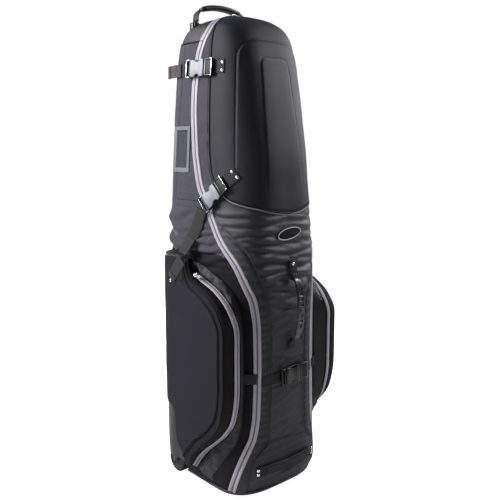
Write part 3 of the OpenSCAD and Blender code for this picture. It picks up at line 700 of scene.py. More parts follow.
def seam_distance(z, phi):
    """Distance in millimetres from the seam beside the main zip, positive towards the middle."""
    arc = 2.9
    rise = (curve(z + 4, FRONT_SEAM) - curve(z - 4, FRONT_SEAM)) / 8 * arc
    return (on_left(phi) - curve(z, FRONT_SEAM)) * arc / np.sqrt(1 + rise**2)


def cross_seam(phi):
    """Height of the seam across the front above the foot."""
    return mix(163, 150, smooth((phi - 248) / 44))


def door_off(z, phi):
    """Relief of the soft part of the door."""
    inward = on_left(phi)
    beside = seam_distance(z, phi)
    below = z < FRONT_SEAM[-1, 0]
    # the middle is creased, except under the badge
    centre = np.where(below, smooth(beside / 14), 1.0)
    calm = ((phi - BADGE[1]) * ARC / 56)**2 + ((z - BADGE[0]) / 27)**2
    centre = centre * (1 - 0.9 * np.exp(-calm**2))
    off = (creases(z, phi, FRONT_FOLDS) + puff(z, phi, 64, 0.8)) * centre
    # the strip along the zip puckers between its seams
    strip = np.where(below, smooth(-beside / 5) * smooth((inward - zip_phi(z)) / 4), 0)
    tucks = np.sin(z / 7.5 + 1.8 * np.sin(z / 37))**2
    off = off + strip * (1.6 - 2.0 * tucks**3 * smooth((z - 80) / 60))
    off = off - 2.2 * near(beside, 0, 1.6) * below + 1.1 * near(beside, 5, 3) * below
    off = off - 2.0 * np.where(inward > 247, near(z, cross_seam(phi), 2.2), 0)
    # a strip of side fabric runs up beside the shell, where it wrinkles at the narrow place
    upper = (z > SHELL_Z) & (inward < 192)
    wrinkle = 1.6 * np.sin((z - 0.9 * inward) / 9) * near(z, 950, 70) * smooth((inward - 176) / 6)
    off = np.where(upper, puff(z, phi, 60, 0.5) + wrinkle, off)
    # under the shell the cloth is held flat
    past_side = np.where(z > SHELL_Z, (inward - curve(z, SHELL_SEAM)) * 2.6 / 8, 9)
    return mix(off, -1.6, smooth(np.minimum((z - curve(inward, SHELL_FOOT)) / 8, past_side)))


def door_fabric():
    z = np.concatenate([np.arange(22, 1226, 4.0), np.linspace(1228, 1290, 20), CROWN_ROWS])[:, None]
    u = np.linspace(0, 1, 128)[None]
    phi = mix(zip_phi(z) + gap_phi(z), 540 - zip_phi(z) - gap_phi(z), u)
    outer = skin(z, phi, door_off(z, phi) * inside_edges(u, 34) + edge_soft(u, 0.8))
    piece = make("door_fabric", slab(outer, skin(z, phi, -4.2)), FRONT_FABRIC, "door",
                 "front_panel")
    line_inside(piece)
    # beside the shell, the door is side fabric
    inward = on_left(phi)
    paint(piece, SIDE_FABRIC,
          (z > SHELL_Z) & ((inward < curve(z, SHELL_SEAM) + 6) | (inward < 214)))
    seams = []
    for shift in (1.6, -2.6):
        path, _ = on_body(FRONT_SEAM[1:-1] + np.array([0, shift]), 0, 160)
        phis = np.degrees(np.arctan2(path[:, 1] - MID_Y, path[:, 0])) % 360
        lifted = skin(path[:, 2], phis, door_off(path[:, 2], phis) + 0.4)
        line = stitches(lifted, skin_normal(path[:, 2], phis))
        seams += [line, other_side(line)]
    a = np.linspace(249, 291, 60)
    z = cross_seam(a) + 3.6
    line = stitches(skin(z, a, door_off(z, a) + 0.3), skin_normal(z, a))
    make("door_stitching", join(*seams, line), DARK_THREAD, "door")


def panel_edge(z, phi, half_angle, top, corner):
    """Distance inside a tall panel with round upper corners, in millimetres along the body."""
    side = (half_angle - np.abs(phi - 270)) * math.radians(1) * reach(z, phi)
    roof = top - z
    outside = np.hypot(np.maximum(corner - side, 0), np.maximum(corner - roof, 0))
    inside = np.minimum(np.minimum(side, roof), 400)
    return np.where((side < corner) & (roof < corner), corner - outside, inside)


def shell_off(z, phi):
    """Relief of the moulded shell: two raised panels, one inside the other, with crisp edges."""
    first = panel_edge(z, phi, 47.5, 1221, 46)
    second = panel_edge(z, phi, 20.5, 1177, 14)
    low = smooth((z - 850) / 90)
    lower = smooth((z - 830) / 60)
    off = 1.7 * smooth(first / 4.5) * low + 1.3 * smooth(second / 4) * lower
    off -= 1.5 * near(first, -1.8, 1.8) * low + 1.1 * near(second, -1.6, 1.6) * lower
    return off + 0.8 * near(first, 6, 2.4) * low * (z > 1150)


def moulded_shell():
    rows, columns = 240, 210
    t = np.linspace(0, 1, rows)[:, None]
    u = np.linspace(0, 1, columns)[None]
    side_z = mix(SHELL_Z, SHELL_TOP, 1 - (1 - t)**1.25)
    bottom = curve(on_left(mix(202, 338, u)), SHELL_FOOT)
    z = mix(bottom, SHELL_TOP, (side_z - SHELL_Z) / (SHELL_TOP - SHELL_Z))
    phi = mix(curve(side_z, SHELL_SEAM), 540 - curve(side_z, SHELL_SEAM), u)
    border = np.minimum(np.minimum(u, 1 - u) * (columns - 1), t * (rows - 1)) * 0.6
    rim = smooth(border / 2.2)
    outer = skin(z, phi, 1.0 + rim * 1.6 + shell_off(z, phi) * smooth(border / 6))
    make("moulded_shell", slab(outer, skin(z, phi, -0.9)), SHELL_FABRIC, "door", "front_shell")


def shell_outline(shift=0.0):
    """The edge of the shell from one side of the crown, round its foot, to the other side."""
    left = [[z, curve(z, SHELL_SEAM) - shift / 2.6] for z in np.linspace(1292, SHELL_Z, 108)]
    under = [[curve(on_left(a), SHELL_FOOT) - shift, a] for a in np.linspace(202, 338, 100)]
    right = [[z, 540 - phi] for z, phi in left[::-1]]
    return np.array(left + under[1:-1] + right)


def shell_trim():
    line = shell_outline()
    piping = sweep(skin(*line.T, 0.6), skin_normal(*line.T), round_section(2.3, 0.8))
    make("shell_piping", piping, TRIM_FABRIC, "door")
    # the bound lower edge is widest under the front
    z, phi = line[(line[:, 1] > 204) & (line[:, 1] < 336)].T
    path, ups = skin(z - 3.4, phi), skin_normal(z, phi)
    grow = smooth((phi - 212) / 50)[:, None, None]
    wide = np.array(flat_section(-4.2, 4.2, 0.0, 2.6, 1.8))
    edge = sweep(path, ups, mix(wide * np.array([0.45, 0.9]), wide, grow))
    make("shell_binding_edge", edge, BINDING, "door", "shell_binding")
    outside = shell_outline(9.5)
    outside = outside[outside[:, 0] < 1285].T
    row = stitches(skin(*outside, 0.2), skin_normal(*outside), 0.0, 1.3, 4.2, 2.6, 1.7)
    make("shell_stitching", row, DARK_THREAD, "door")
    make("binding_stitching", stitches(path + ups * 2.4, ups, 0.0, 0.7, 3.0, 2.4), THREAD, "door")


def inner_lining():
    """Foam liner inside the shell, quilted in ribs."""
    z = np.linspace(870, 1240, 90)[:, None]
    phi = mix(205, 335, np.linspace(0, 1, 90)[None])
    quilt = 0.9 * np.abs(np.sin(z / 13))
    piece = make("foam_liner", slab(skin(z, phi, -4.4), skin(z, phi, -6.6 - quilt)), FOAM, "door",
                 "shell_liner")


# ---- pockets ----

# the front edge of the pocket flap from its lower to its upper end, as (y, z)
FLAP_EDGE = np.array([[45, 60], [15, 100], [-20, 136], [-60, 170], [-96, 204], [-128, 253],
                      [-142, 340], [-142, 474], [-118, 528], [-66, 568], [12, 598], [34, 620],
                      [46, 648]])
FLAP_END = len(FLAP_EDGE) - 1
# its back edge, as (z, y)
FLAP_BACK = np.array([[60, 58], [92, 68], [122, 92], [150, 97], [208, 99], [219, 118], [226, 146],
                      [660, 146]])
# height and bearing of the pocket wall's root, at each point of the front edge and then of the roof
GUSSET_ROOT = np.array([[36, 199], [70, 206], [104, 213], [140, 220], [180, 226], [240, 229],
                        [340, 230], [480, 229], [560, 224], [606, 210], [634, 190], [645, 180],
                        [655, 170], [664, 158], [666, 144]])
ROOF = np.array([[-187.0, 76, 653], [-182, 146, 655]])
ZIP_END = 10  # the point of the front edge where the pocket's zip ends
ZIP_X = -170
POCKET = "pocket_{}"


def flap_x(y, z):
    bulge = 1 - (np.abs(z - 345) / 330)**4
    return -(184 + 24 * bulge * np.sqrt(np.maximum(150 - y, 0) / 292))


def flap_line(out, x, count, first=0.0, last=FLAP_END):
    """Path beside the flap's front edge, out away from it, and the way outwards.
    It lies at x from the middle, or on the flap's face where x is None."""
    t = np.linspace(first, last, count)
    ahead = unit(through(FLAP_EDGE, np.minimum(t + 0.05, FLAP_END))
                 - through(FLAP_EDGE, np.maximum(t - 0.05, 0)))
    outward = np.stack([-ahead[:, 1], ahead[:, 0]], -1)
    yz = through(FLAP_EDGE, t) + outward * np.reshape(out, (-1, 1))
    x = flap_x(*yz.T) if x is None else np.full(count, float(x))
    return np.column_stack([x, yz]), np.column_stack([np.zeros(count), outward])


def panel_inset(t):
    """How far the seam round the flap's middle lies inside its edge."""
    return 22 - 13 * smooth((t - 9) / 3)


def flap_grids(count, columns):
    """Outer and inner face of the flap, and how far each point is inside the seam."""
    edge, outward = flap_line(0, None, count)
    seam = panel_inset(np.linspace(0, FLAP_END, count))[:, None]
    front, z = edge[:, [1]], edge[:, [2]]
    u = np.linspace(0, 1, columns)[None]
    y = mix(np.interp(z, *FLAP_BACK.T), front, 1 - (1 - u)**1.3)
    z = np.broadcast_to(z, y.shape)
    within = np.abs(y - front) * np.abs(outward[:, [1]]) - seam
    relief = (1.2 * puff(z, y / ARC, 80, 0.8, 1) * smooth((within + 20) / 30)
              - 2.2 * near(within, 0, 1.6) + 1.0 * near(within, 5, 3) + 1.5 * smooth(within / 5))
    face = np.stack([flap_x(y, z) - relief, y, z], -1)
    # past the front edge, the cloth rolls over towards the zip
    roll = [(flap_line(out, None, count)[0] + np.array([dx, 0, 0]))[:, None]
            for out, dx in ((2.2, 0.8), (4, 2.4), (5.4, 5))]
    outer = np.concatenate([face, *roll, flap_line(8, -181, count)[0][:, None]], 1)
    thin = np.concatenate([np.zeros(columns), [1.0, 2.0, 2.4, 3.0]])[None, :, None]
    inner = outer + np.array([WALL, 0, 0]) - outward[:, None] * thin
    # the upper edge is turned in towards the roof of the pocket
    lip = [outer[-1:] + np.array([dx, 0, dz]) for dx, dz in ((0.5, 2.0), (1.6, 3.6), (3.0, 4.2))]
    inner_lip = [inner[-1:] + np.array([0, 0, dz]) for dz in (0.6, 1.2, 1.8)]
    within = np.pad(within, ((0, 3), (0, 4)), constant_values=-9.0)
    return np.concatenate([outer, *lip]), np.concatenate([inner, *inner_lip]), within


def pocket_flaps():
    outer, inner, within = flap_grids(170, 62)
    for piece in sides("pocket_flap", slab(outer, inner), POCKET_FABRIC, POCKET, "pocket_flap_{}"):
        line_inside(piece)
        paint(piece, TRIM_FABRIC, within < -0.5)
    ends = 0.6, FLAP_END - 0.1
    t = np.linspace(*ends, 220)
    piping = [sweep(moved(flap_line(-out, None, 220, *ends), 0.9 * LEFT)[0], LEFT,
                    round_section(r, 0.4)) for out, r in ((panel_inset(t), 1.7), (0, 2.0))]
    sides("pocket_piping", join(*piping), TRIM_FABRIC, POCKET)
    path, _ = flap_line(4.5 - panel_inset(t), None, 220, *ends)
    sides("pocket_stitching", stitches(path + 0.5 * LEFT, LEFT), DARK_THREAD, POCKET)


def pocket_zips():
    path, outward = flap_line(11, ZIP_X, 240, 0, ZIP_END)
    # the lower end of the zip turns to face sideways
    lean = 0.3 + 0.9 * smooth(np.linspace(1, -3, 240))
    ups = unit(outward + lean[:, None] * LEFT)
    point, ahead, up = spaced(path, ups, 2.8)
    tapes, coils = [], []
    for turn, high in ((-1, 8.6), (1, 5.8)):
        section = [(1.0, 0.0), (1.0, 1.5), (2.4, 2.0), (3.2, 1.6), (4.0, 2.0), (high - 0.6, 1.9),
                   (high, 0.4)]
        tapes.append(sweep(path, ups, [(turn * w, h) for w, h in section][::-turn]))
        coils.append(blocks(point + ahead * (0.7 * turn), ahead, up, 1.5, 1.8, 0.6, 2.4,
                            turn * 0.8))
    sides("pocket_zip_tape", join(*tapes), ZIP_TAPE, POCKET, "pocket_zip_{}")
    sides("pocket_zip_coil", join(*coils)[:2], ZIP_COIL, POCKET)


def gussets():
    """The pocket's side wall, from beside the zip to the body, and the roof behind it."""
    count, columns, more = 230, 34, 13
    rim, outward = flap_line(13, -162, count)
    extra = np.linspace(0, 1, more + 1)[1:, None]
    rim = np.concatenate([rim, mix(rim[-1], ROOF[0], extra), mix(ROOF[0], ROOF[1], extra)])
    outward = np.concatenate([outward, np.tile(UP, (2 * more, 1))])
    t = np.concatenate([np.linspace(0, FLAP_END, count),
                        np.linspace(FLAP_END, len(GUSSET_ROOT) - 1, 2 * more + 1)[1:]])
    z, phi = through(GUSSET_ROOT, t).T
    root, normal = skin(z, phi, 0.3), skin_normal(z, phi)
    u = np.linspace(0, 1, columns)[None]
    run = distances(rim)[:, None]
    # slanted puckers run across the wall, with a piped seam along its middle
    pucker = 2.5 * np.sin((run + 38 * u) / 8.5 + 1.2 * np.sin(run / 43)) * np.sin(np.pi * u)**0.7
    pucker += 0.9 * np.sin((run - 22 * u) / 4.7 + 2 * np.sin(run / 29)) * np.sin(np.pi * u)
    ridge = 1.6 * near(u, 0.40, 0.035) + 1.2 * near(u, 0.52, 0.03) - 1.6 * near(u, 0.46, 0.03)
    bulge = 6.4 * np.sin(np.pi * u) + pucker * smooth(run / 60) + ridge * (1 - near(u, 0.7, 0.2))
    outer = mix(rim[:, None], root[:, None], u[..., None]) + normal[:, None] * bulge[..., None]
    thick = outward * -3 + np.array([1.5, 0, 0])
    points, faces, uv = slab(outer, outer + thick[:, None])
    for piece in sides("pocket_wall", (points, flipped(faces), uv), WALL_FABRIC, "case",
                       "pocket_gusset_{}"):
        line_inside(piece)
    pipes = [sweep(outer[4:-20, k], normal[4:-20], round_section(1.5, 0.4))
             for k in (2, columns - 3)]
    sides("pocket_wall_piping", join(*pipes), TRIM_FABRIC, "case")


# ---- straps and buckles ----

DIAGONAL = [[786, 184.8], [772, 182.5], [758, 180.5], [738, 177.5], [720, 173.5], [706, 170]]
DIAGONAL_END = np.array([[-178.0, 49, 689], [-190.5, 53, 667]])
SOCKET_L = 68.0
SOCKET_W = 46.0
CLIP_L = 28.0
BAR_X = SOCKET_L / 2 + 1  # where the clip's frame starts
# height, bearing, spin and distance off the body
BUCKLES = {"upper": (1155, 169.5, 0, 4.6), "diagonal": (819, 196.5, 43, 4.6)}


def upper_straps():
    z = 1155
    phi = np.linspace(131, 161, 50)
    sides("upper_strap", strap(skin(z, phi), skin_normal(z, phi), 38, 2.2, -0.2), WEBBING, "case",
          "upper_straps")
    # the loose end stands out behind the corner and droops a little
    start = skin(z, 146) + 3 * LEFT
    t = np.linspace(0, 1, 24)[:, None]
    tail = mix(start, np.array([start[0] - 5.5, -cad_box[0].y / MM - 38, z]), t)
    tail = tail + 2.2 * LEFT * np.sin(np.pi * t) - 1.6 * UP * t**2
    up = np.array([-1.0, 0.08, 0.05])
    part = join(strap(tail, up, 34, 1.8), strap(tail[-5:] + 1.7 * LEFT, up, 34, 1.6))
    # the loose end is a lit copy of the webbing, painted lighter as light
    sides("upper_strap_tail", part, LIT_WEBBING, "case")


def diagonal_straps():
    """The strap leaves the body for the outer edge of the pocket's roof; a tab on the flap carries
    its line on."""
    path, ups = on_body(DIAGONAL, 3.0, 60)
    bend = np.linspace(0, 1, 16)[1:, None]
    free = (path[-1] * (1 - bend)**2 + 2 * DIAGONAL_END[0] * bend * (1 - bend)
            + DIAGONAL_END[1] * bend**2)
    path = np.concatenate([path, free])
    ups = np.concatenate([ups, mix(ups[-1], np.array([-1.0, 0, 0.25]), bend)])
    layers = [strap(path[:n] + ups[:n] * lift, ups[:n], width, thick, 0.4)
              for n, lift, width, thick in (
                  (75, 0, 38, 2.2), (26, 2.2, 36, 1.8), (12, 4.0, 36, 1.6))]
    sides("diagonal_strap", join(*layers), WEBBING, "case", "diagonal_straps")
    t = np.linspace(0, 1, 24)
    y, z = mix(56, 103, t), mix(650, 592, t)
    tab = np.stack([flap_x(y, z) - 2.6, y, z], -1)
    part = join(strap(tab, LEFT, 36), strap(tab[-6:] + 1.8 * LEFT, LEFT, 36, 1.6))
    sides("strap_end_tab", part, WEBBING, POCKET)
    head, faces = placed(rivet_head(), AXIS_LEFT, tab[-1] + np.array([-2.6, 2, -7]))
    sides("strap_end_rivet", (head, flipped(faces)), STEEL, POCKET)


def socket():
    """Waisted face of a side-release buckle. On the side buckles it is painted pale grey, a painted
    reflection of the soft box on black plastic.
    """
    half, w = SOCKET_L / 2, SOCKET_W / 2
    arc = np.radians(np.linspace(-62, 62, 16))
    notch = [(9 + 11 * math.sin(a), w + 3.6 - 11 * math.cos(a)) for a in arc]
    notch = [(x, y) for x, y in notch if y < w - 0.6]
    outline = ([(17 - half, 1.5 - w), (20 - half, 0.6 - w)] + [(x, -y) for x, y in notch]
               + [(half - 6, 0.6 - w), (half - 1.6, 2.6 - w), (half - 0.6, 0),
                  (half - 1.6, w - 2.6), (half - 6, w - 0.6)] + notch[::-1]
               + [(20 - half, w - 0.6), (17 - half, w - 1.5), (16 - half, 0)])
    return extruded(outline, 6.2, 11.0, 1.4)


def socket_frame():
    """Dark body of the buckle, with the slots and bars that its strap is threaded through."""
    half, w = SOCKET_L / 2, SOCKET_W / 2
    bars = [rounded_box((4.2, SOCKET_W, 8.5), (x - half, 0, 5.2), 1.6) for x in (2.1, 13.2)]
    rails = [rounded_box((16, 3.4, 8.5), (7.5 - half, s * (w - 1.7), 5.2), 1.2) for s in (-1, 1)]
    floor = rounded_box((SOCKET_L - 14, SOCKET_W - 3, 3.0), (6.5, 0, 1.6), 1.2)
    cheeks = [rounded_box((long, 5, 8), (x, s * (w - 4.0), 5.2), 1.4)
              for s in (-1, 1) for x, long in ((half - 7, 13), (-10, 12))]
    rib = rounded_box((1.2, SOCKET_W - 6, 1.2), (16 - half, 0, 10.8), 0.5)
    return join(*bars, *rails, floor, *cheeks, rib)


def clip():
    """The pronged half, with the bar that its strap loops round."""
    w = SOCKET_W / 2 - 1
    parts = [rounded_box((6.4, 2 * w, 8.6), (BAR_X + 3.2, 0, 5.5), 1.8),
             rounded_box((4.6, 2 * w, 8.6), (BAR_X + CLIP_L - 2.6, 0, 5.5), 1.8)]
    parts += [rounded_box((CLIP_L, 3.2, 8.6), (BAR_X + CLIP_L / 2, s * (w - 1.6), 5.5), 1.4)
              for s in (-1, 1)]
    for s in (-1, 0, 1):
        tip = 0 if s else 4
        outline = [(-5 + tip, s * 11 - 1.8), (-2 + tip, s * 11 - 2.6), (BAR_X + 1, s * 11 - 2.6),
                   (BAR_X + 1, s * 11 + 2.6), (-2 + tip, s * 11 + 2.6), (-5 + tip, s * 11 + 1.8)]
        parts.append(extruded(outline, 3.5, 7.6, 0.8))
    return join(*parts)


def clip_loop():
    """Webbing looped round the clip's bar."""
    return rounded_box((CLIP_L - 7, 37, 7.4), (BAR_X + CLIP_L / 2 + 1.5, 0, 5.4), 2.8)


def clip_edges():
    """Painted highlights: bright strips at the end of the clip's frame, where light glints on its
    edges.
    """
    end, w = BAR_X + CLIP_L, SOCKET_W / 2 - 1
    return join(rounded_box((1.4, 2 * w - 2, 2.0), (end - 0.8, 0, 9.0), 0.6),
                *[rounded_box((6.0, 1.3, 1.6), (end - 4, s * (w - 0.9), 9.5), 0.5)
                  for s in (-1, 1)])


def ladder_highlights():
    """Painted highlights: bright strips where the strap leaves the socket, where light glints on
    the edges of its bars.
    """
    half, w = SOCKET_L / 2, SOCKET_W / 2
    return join(rounded_box((1.2, SOCKET_W - 2, 1.8), (0.7 - half, 0, 8.8), 0.5),
                *[rounded_box((11, 1.4, 1.8), (7 - half, s * (w - 0.5), 9.2), 0.6)
                  for s in (-1, 1)])


def side_buckles():
    # the side buckles' faces are painted pale grey as a reflection of the light, and the clip and
    # ladder highlights are bright strips painted where light glints on black plastic
    for name, spot in BUCKLES.items():
        nodes, clips = name + "_socket_{}", name + "_clip_{}"
        for label, part, material, body, gone in (
                ("face", socket(), PAINTED_HIGHLIGHT_GREY, "case", nodes),
                ("frame", socket_frame(), BLACK_PLASTIC, "case", ""),
                ("clip", clip(), BLACK_PLASTIC, clips, clips),
                ("clip_loop", clip_loop(), WEBBING, clips, ""),
                ("clip_edges", clip_edges(), STEEL, clips, ""),
                ("ladder_highlights", ladder_highlights(), STEEL, "case", "")):
            sides(f"{name}_buckle_{label}", placed(part, *place(*spot))[:2], material, body, gone)


def strap_tabs():
    tabs = [strap(*on_body(points, 2.4, 30), 35, 2.2)
            for points in ([[1155, 188], [1155, 195], [1155, 202], [1155, 209.5]],
                           [[861, 214], [869, 217], [877, 220], [887, 223.8]])]
    sides("strap_tab", join(*tabs), WEBBING, "door", "strap_tabs")


def lower_strap():
    i = np.linspace(-8, 8, 120)
    z, phi = 341 + i * 0.5, 270 + i * 3.35
    ups = skin_normal(z, phi)
    band = strap(skin(z, phi, 1.2 + 0.45 * np.sin(i * 1.3)), ups, 28, 2.2)
    second = strap(skin(z, phi, 3.6)[70:118], ups[70:118], 26, 1.8)
    make("lower_strap_band", join(band, second), WEBBING, "door", "lower_strap")
    rows = [stitches(skin(z + s * 11, phi, 3.4)[4:66], ups[4:66], 0, 0.5) for s in (-1, 1)]
    make("lower_strap_stitching", join(*rows)[:2], DARK_THREAD, "door")
    # the ends are sewn to the case beside the pockets and stand out towards the band
    z, phi = 347 + np.arange(5), np.array([239.1, 235, 232, 229, 226])
    ends = sweep(skin(z, phi, np.array([2.8, 3.4, 5.5, 8.5, 12])),
                 skin_normal(347, np.round(phi)), flat_section(-14, 14, 0, 2))
    sides("lower_strap_end", ends, WEBBING, "case", "lower_strap_ends")
    axes, origin = place(341, 270, 3, 4)
    for label, part, material, body, gone in (
            ("face", socket(), BLACK_PLASTIC, "door", "lower_socket"),
            ("frame", socket_frame(), BLACK_PLASTIC, "door", ""),
            ("clip", clip(), BLACK_PLASTIC, "lower_clip", "lower_clip"),
            ("loop", clip_loop(), WEBBING, "lower_clip", ""),
            # the clip's edges are pale grey strips painted as highlights
            ("edges", clip_edges(), PAINTED_HIGHLIGHT_GREY, "lower_clip", "")):
        make(f"lower_buckle_{label}", placed(part, axes, origin)[:2], material, body, gone)


# ---- rivets ----

def rivet_head():
    return turned([(4.4, -0.4), (4.6, 0.3), (4.3, 0.9), (3.6, 1.5), (2.6, 2.0), (1.3, 2.35),
                   (0.2, 2.4)], 24)


def rivets():
    # height, bearing and distance off the body
    for body, spots in (("case", [(248, 146.5, 19.5), (93, 159.5, 12.8)]),
                        ("door", [(1165, 207, 4.4), (1145, 207, 4.4), (889, 219, 4.4),
                                  (875, 224, 4.4), (91, 240.2, 6.6), (79, 240.2, 6.6)])):
        heads = [placed(rivet_head(), *place(z, phi, 0, off)) for z, phi, off in spots]
        sides(f"{body}_rivet_heads", join(*heads)[:2], STEEL, body, f"{body}_rivets")


# ---- handles ----

PIVOT = np.array([88.0, 118, 1283])  # of the top handle's right eye
GRAB_X = 12.0
GRAB_Z = 523  # the middle of the grab handle


def top_handle():
    a = np.radians(np.linspace(-90, 90, 90))
    x = PIVOT[0] * np.sin(a) * (1 - 0.12 * np.cos(a)**2)
    z = PIVOT[2] + 6.5 + 46 * np.maximum(np.cos(a), 0)**0.55
    path = np.stack([x, np.full(90, PIVOT[1]), z], -1)
    ahead = unit(np.gradient(path, axis=0))
    ups = np.stack([-ahead[:, 2], np.zeros(90), ahead[:, 0]], -1)
    ring = round_section(1.0, 0, 16)
    shape = np.sign(ring) * np.abs(ring)**0.75 * np.array([14.5, 6.6])
    swell = 0.62 + 0.38 * np.sin(np.linspace(0, np.pi, 58))**0.35
    grip = sweep(path[16:74], ups[16:74], shape[None] * swell[:, None, None])
    ribs = [sweep(path[k:k + 2], ups[k:k + 2], shape * np.array([1.0, 1.12]))
            for k in range(22, 69, 4)]
    eye = turned([(4.6, -6), (7.4, -6), (7.6, -5), (7.6, 5), (7.4, 6), (4.6, 6)], 24)
    eyes = [placed(eye, AXIS_X, PIVOT * np.array([s, 1, 1])) for s in (-1, 1)]
    make("top_handle_webbing", join(strap(path, ups, 24, 3.0, -1.5), *eyes)[:2], WEBBING,
         "top_handle", "top_handle")
    pad = make("top_handle_grip", join(grip, *ribs)[:2], BLACK_PLASTIC, "top_handle")


def handle_anchors():
    """Sewn mounts on either side of the handle's eyes, and the pins through them."""
    parts = []
    for s in (-1, 1):
        parts += [rounded_box((8, 17, 21), (s * 100, PIVOT[1], 1275.5), 3),
                  rounded_box((8, 17, 16), (s * 75, PIVOT[1], 1278), 3),
                  placed(turned([(2.9, -11), (2.9, 11)], 16), AXIS_X, PIVOT * np.array([s, 1, 1]))]
    make("handle_anchor_mounts", join(*parts)[:2], BLACK_PLASTIC, "case", "handle_anchors")


def grab_handle():
    count = 120
    t = np.linspace(0, 1, count)
    path = np.stack([np.full(count, GRAB_X), -172 - 27 * np.sin(np.pi * t)**0.4, 440 + 166 * t], -1)
    ahead = unit(np.gradient(path, axis=0))
    ups = np.stack([np.zeros(count), -ahead[:, 2], ahead[:, 1]], -1)
    # two side rails joined by bridges, so that oval openings are left between them
    widths = 12 - 3.2 * smooth((np.abs(np.linspace(-1, 1, count)) - 0.62) / 0.38)
    parts = []
    for s in (-1, 1):
        middle = np.stack([s * (widths - 3.4), np.zeros(count)], -1)
        section = round_section(1.0, 0, 12)[None] * np.array([2.9, 3.4]) + middle[:, None]
        parts.append(sweep(path, ups, section))
    holes = [GRAB_Z + k * 14 for k in (-3, -2, -1, 1, 2, 3)]
    for z0, z1 in zip([430] + [h + 4.4 for h in holes], [h - 4.4 for h in holes] + [612]):
        pick = (path[:, 2] >= z0 - 1) & (path[:, 2] <= z1 + 1)
        if pick.sum() > 2:
            parts.append(sweep(path[pick], ups[pick], flat_section(-9.5, 9.5, -2.4, 2.6, 1.2)))
    ring = turned([(4.0, -1), (5.4, -1), (6.6, 0.4), (6.6, 2.0), (5.4, 3.4), (4.0, 3.4)], 28)
    parts.append(placed(ring, AXIS_Y, np.array([GRAB_X, -201, GRAB_Z])))
    make("grab_handle_grip", join(*parts)[:2], HANDLE_RUBBER, "grab_handle", "grab_handle")


def grab_tabs():
    """Webbing tabs below and above the grab handle; the upper one is long and riveted."""
    w, parts = 15.0, []
    for z, bottom, top, inner_end in ((440, -26, -2, -2), (606, 4, 60, 4)):
        axes, origin = place(z, 270 + GRAB_X / 3.2, 0, -0.4)
        outline = [(3 - w, bottom), (w - 3, bottom), (w, bottom + 3), (w, top - 3), (w - 3, top),
                   (3 - w, top), (-w, top - 3), (-w, bottom + 3)]
        parts += [placed(extruded(outline, 2.2, 5.6, 0.8), axes, origin),
                  placed(rounded_box((19, 16, 7), (0, inner_end, 7.4), 2), axes, origin)]
    make("grab_handle_tabs", join(*parts)[:2], WEBBING, "door", "grab_tabs")
    head = placed(rivet_head(), axes, origin + axes[2] * 5.6 + axes[1] * 38)
    make("grab_handle_rivets", head, STEEL, "door")


def bottom_handle():
    x = np.linspace(-96, 96, 100)
    bow = 4 + 5 * np.cos(np.radians(x * 0.9))**2
    phi = 270 + x / 3.15
    path, ups = skin(86, phi, bow), skin_normal(86, phi)
    folded = sweep(path[12:88] + ups[12:88] * 2.4, ups[12:88], flat_section(-8, 8, 0, 2.4, 1.6))
    make("foot_handle_band", join(strap(path, ups, 26, 2.6), folded), WEBBING, "bottom_handle",
         "bottom_handle")
    rows = [stitches(path + ups * 2.5 + s * 10.5 * UP, ups, 0, 0.6) for s in (-1, 1)]
    make("foot_handle_stitching", join(*rows)[:2], DARK_THREAD, "bottom_handle")


# ---- zip sliders ----

def sliders():
    pin = turned([(1.0, -4), (1.0, 4)], 16)
    body = join(rounded_box((14, 9, 1.8), (0, 0, 1.0), 2.4),
                rounded_box((13, 1.8, 5.4), (0, -3.5, 3.4), 0.8),
                rounded_box((13, 1.8, 5.4), (0, 3.5, 3.4), 0.8),
                placed(pin, AXIS_Y, np.array([0, 0, 4.6])))
    spot = np.array([-8, 25, 1296.05])
    make("main_slider_body", moved(body, spot)[:2], STEEL, "main_slider", "main_slider")
    eye = placed(turned([(1.2, -2.4), (2.5, -2.4), (2.5, 2.4), (1.2, 2.4)], 20), AXIS_Y, 0)
    grip = [rounded_box((1.2, 5.4, 0.8), (-12 - k * 2.6, 0, 1.2), 0.3) for k in range(5)]
    pull = join(eye, rounded_box((9, 4.6, 1.8), (-5.8, 0, 0), 0.7),
                rounded_box((17, 7, 2.2), (-17.6, 0, 0), 1.0), *grip)
    make("main_slider_tag", moved(pull, spot + 4.6 * UP)[:2], STEEL, "main_pull", "main_pull")
    # pocket sliders stand on end at the top of their zips
    spot = np.array([-187.0, 2, 614])
    body = join(rounded_box((2.0, 12, 9.2), (3.0, 0, 0), 0.8),
                rounded_box((6, 12, 1.9), (1, 0, 3.7), 0.8),
                rounded_box((6, 12, 1.9), (1, 0, -3.7), 0.8), pin,
                rounded_box((8, 9, 1.6), (6.0, -2, 5.2), 0.6),
                rounded_box((8, 9, 1.6), (6.0, -2, -5.2), 0.6))
    sides("pocket_slider_body", moved(body, spot)[:2], STEEL, "case", "pocket_sliders")
    tag = join(turned([(1.2, -2.4), (2.6, -2.4), (2.6, 2.4), (1.2, 2.4)], 20),
               rounded_box((2.0, 9, 4.6), (0, -6, 0), 0.7),
               rounded_box((3.0, 14, 7.6), (0, -17, 0), 1.2))
    sides("pocket_slider_tag", moved(tag, spot)[:2], STEEL, "pocket_pull_{}", "pocket_pull_{}")


# ---- card holder and badge ----

def card_holder():
    """A bound frame round a clear window, with a bar near its top."""
    z = np.linspace(883, 1007, 50)[:, None]
    phi = np.linspace(142.4, 162.7, 36)[None]
    edge = np.maximum(np.abs(z - 945) - 52, (np.abs(phi - 152.5) - 7.4) * 2.6)
    outer = skin(z, phi, 1.0 + 1.5 * smooth((edge + 3) / 2.5) + 0.5 * near(z, 985, 2.4))
    piece = make("card_holder", slab(outer, skin(z, phi, 0.2)), CARD_TRIM, "case",
                 "card_frame card_window")
    paint(piece, VINYL, edge < -1.5)


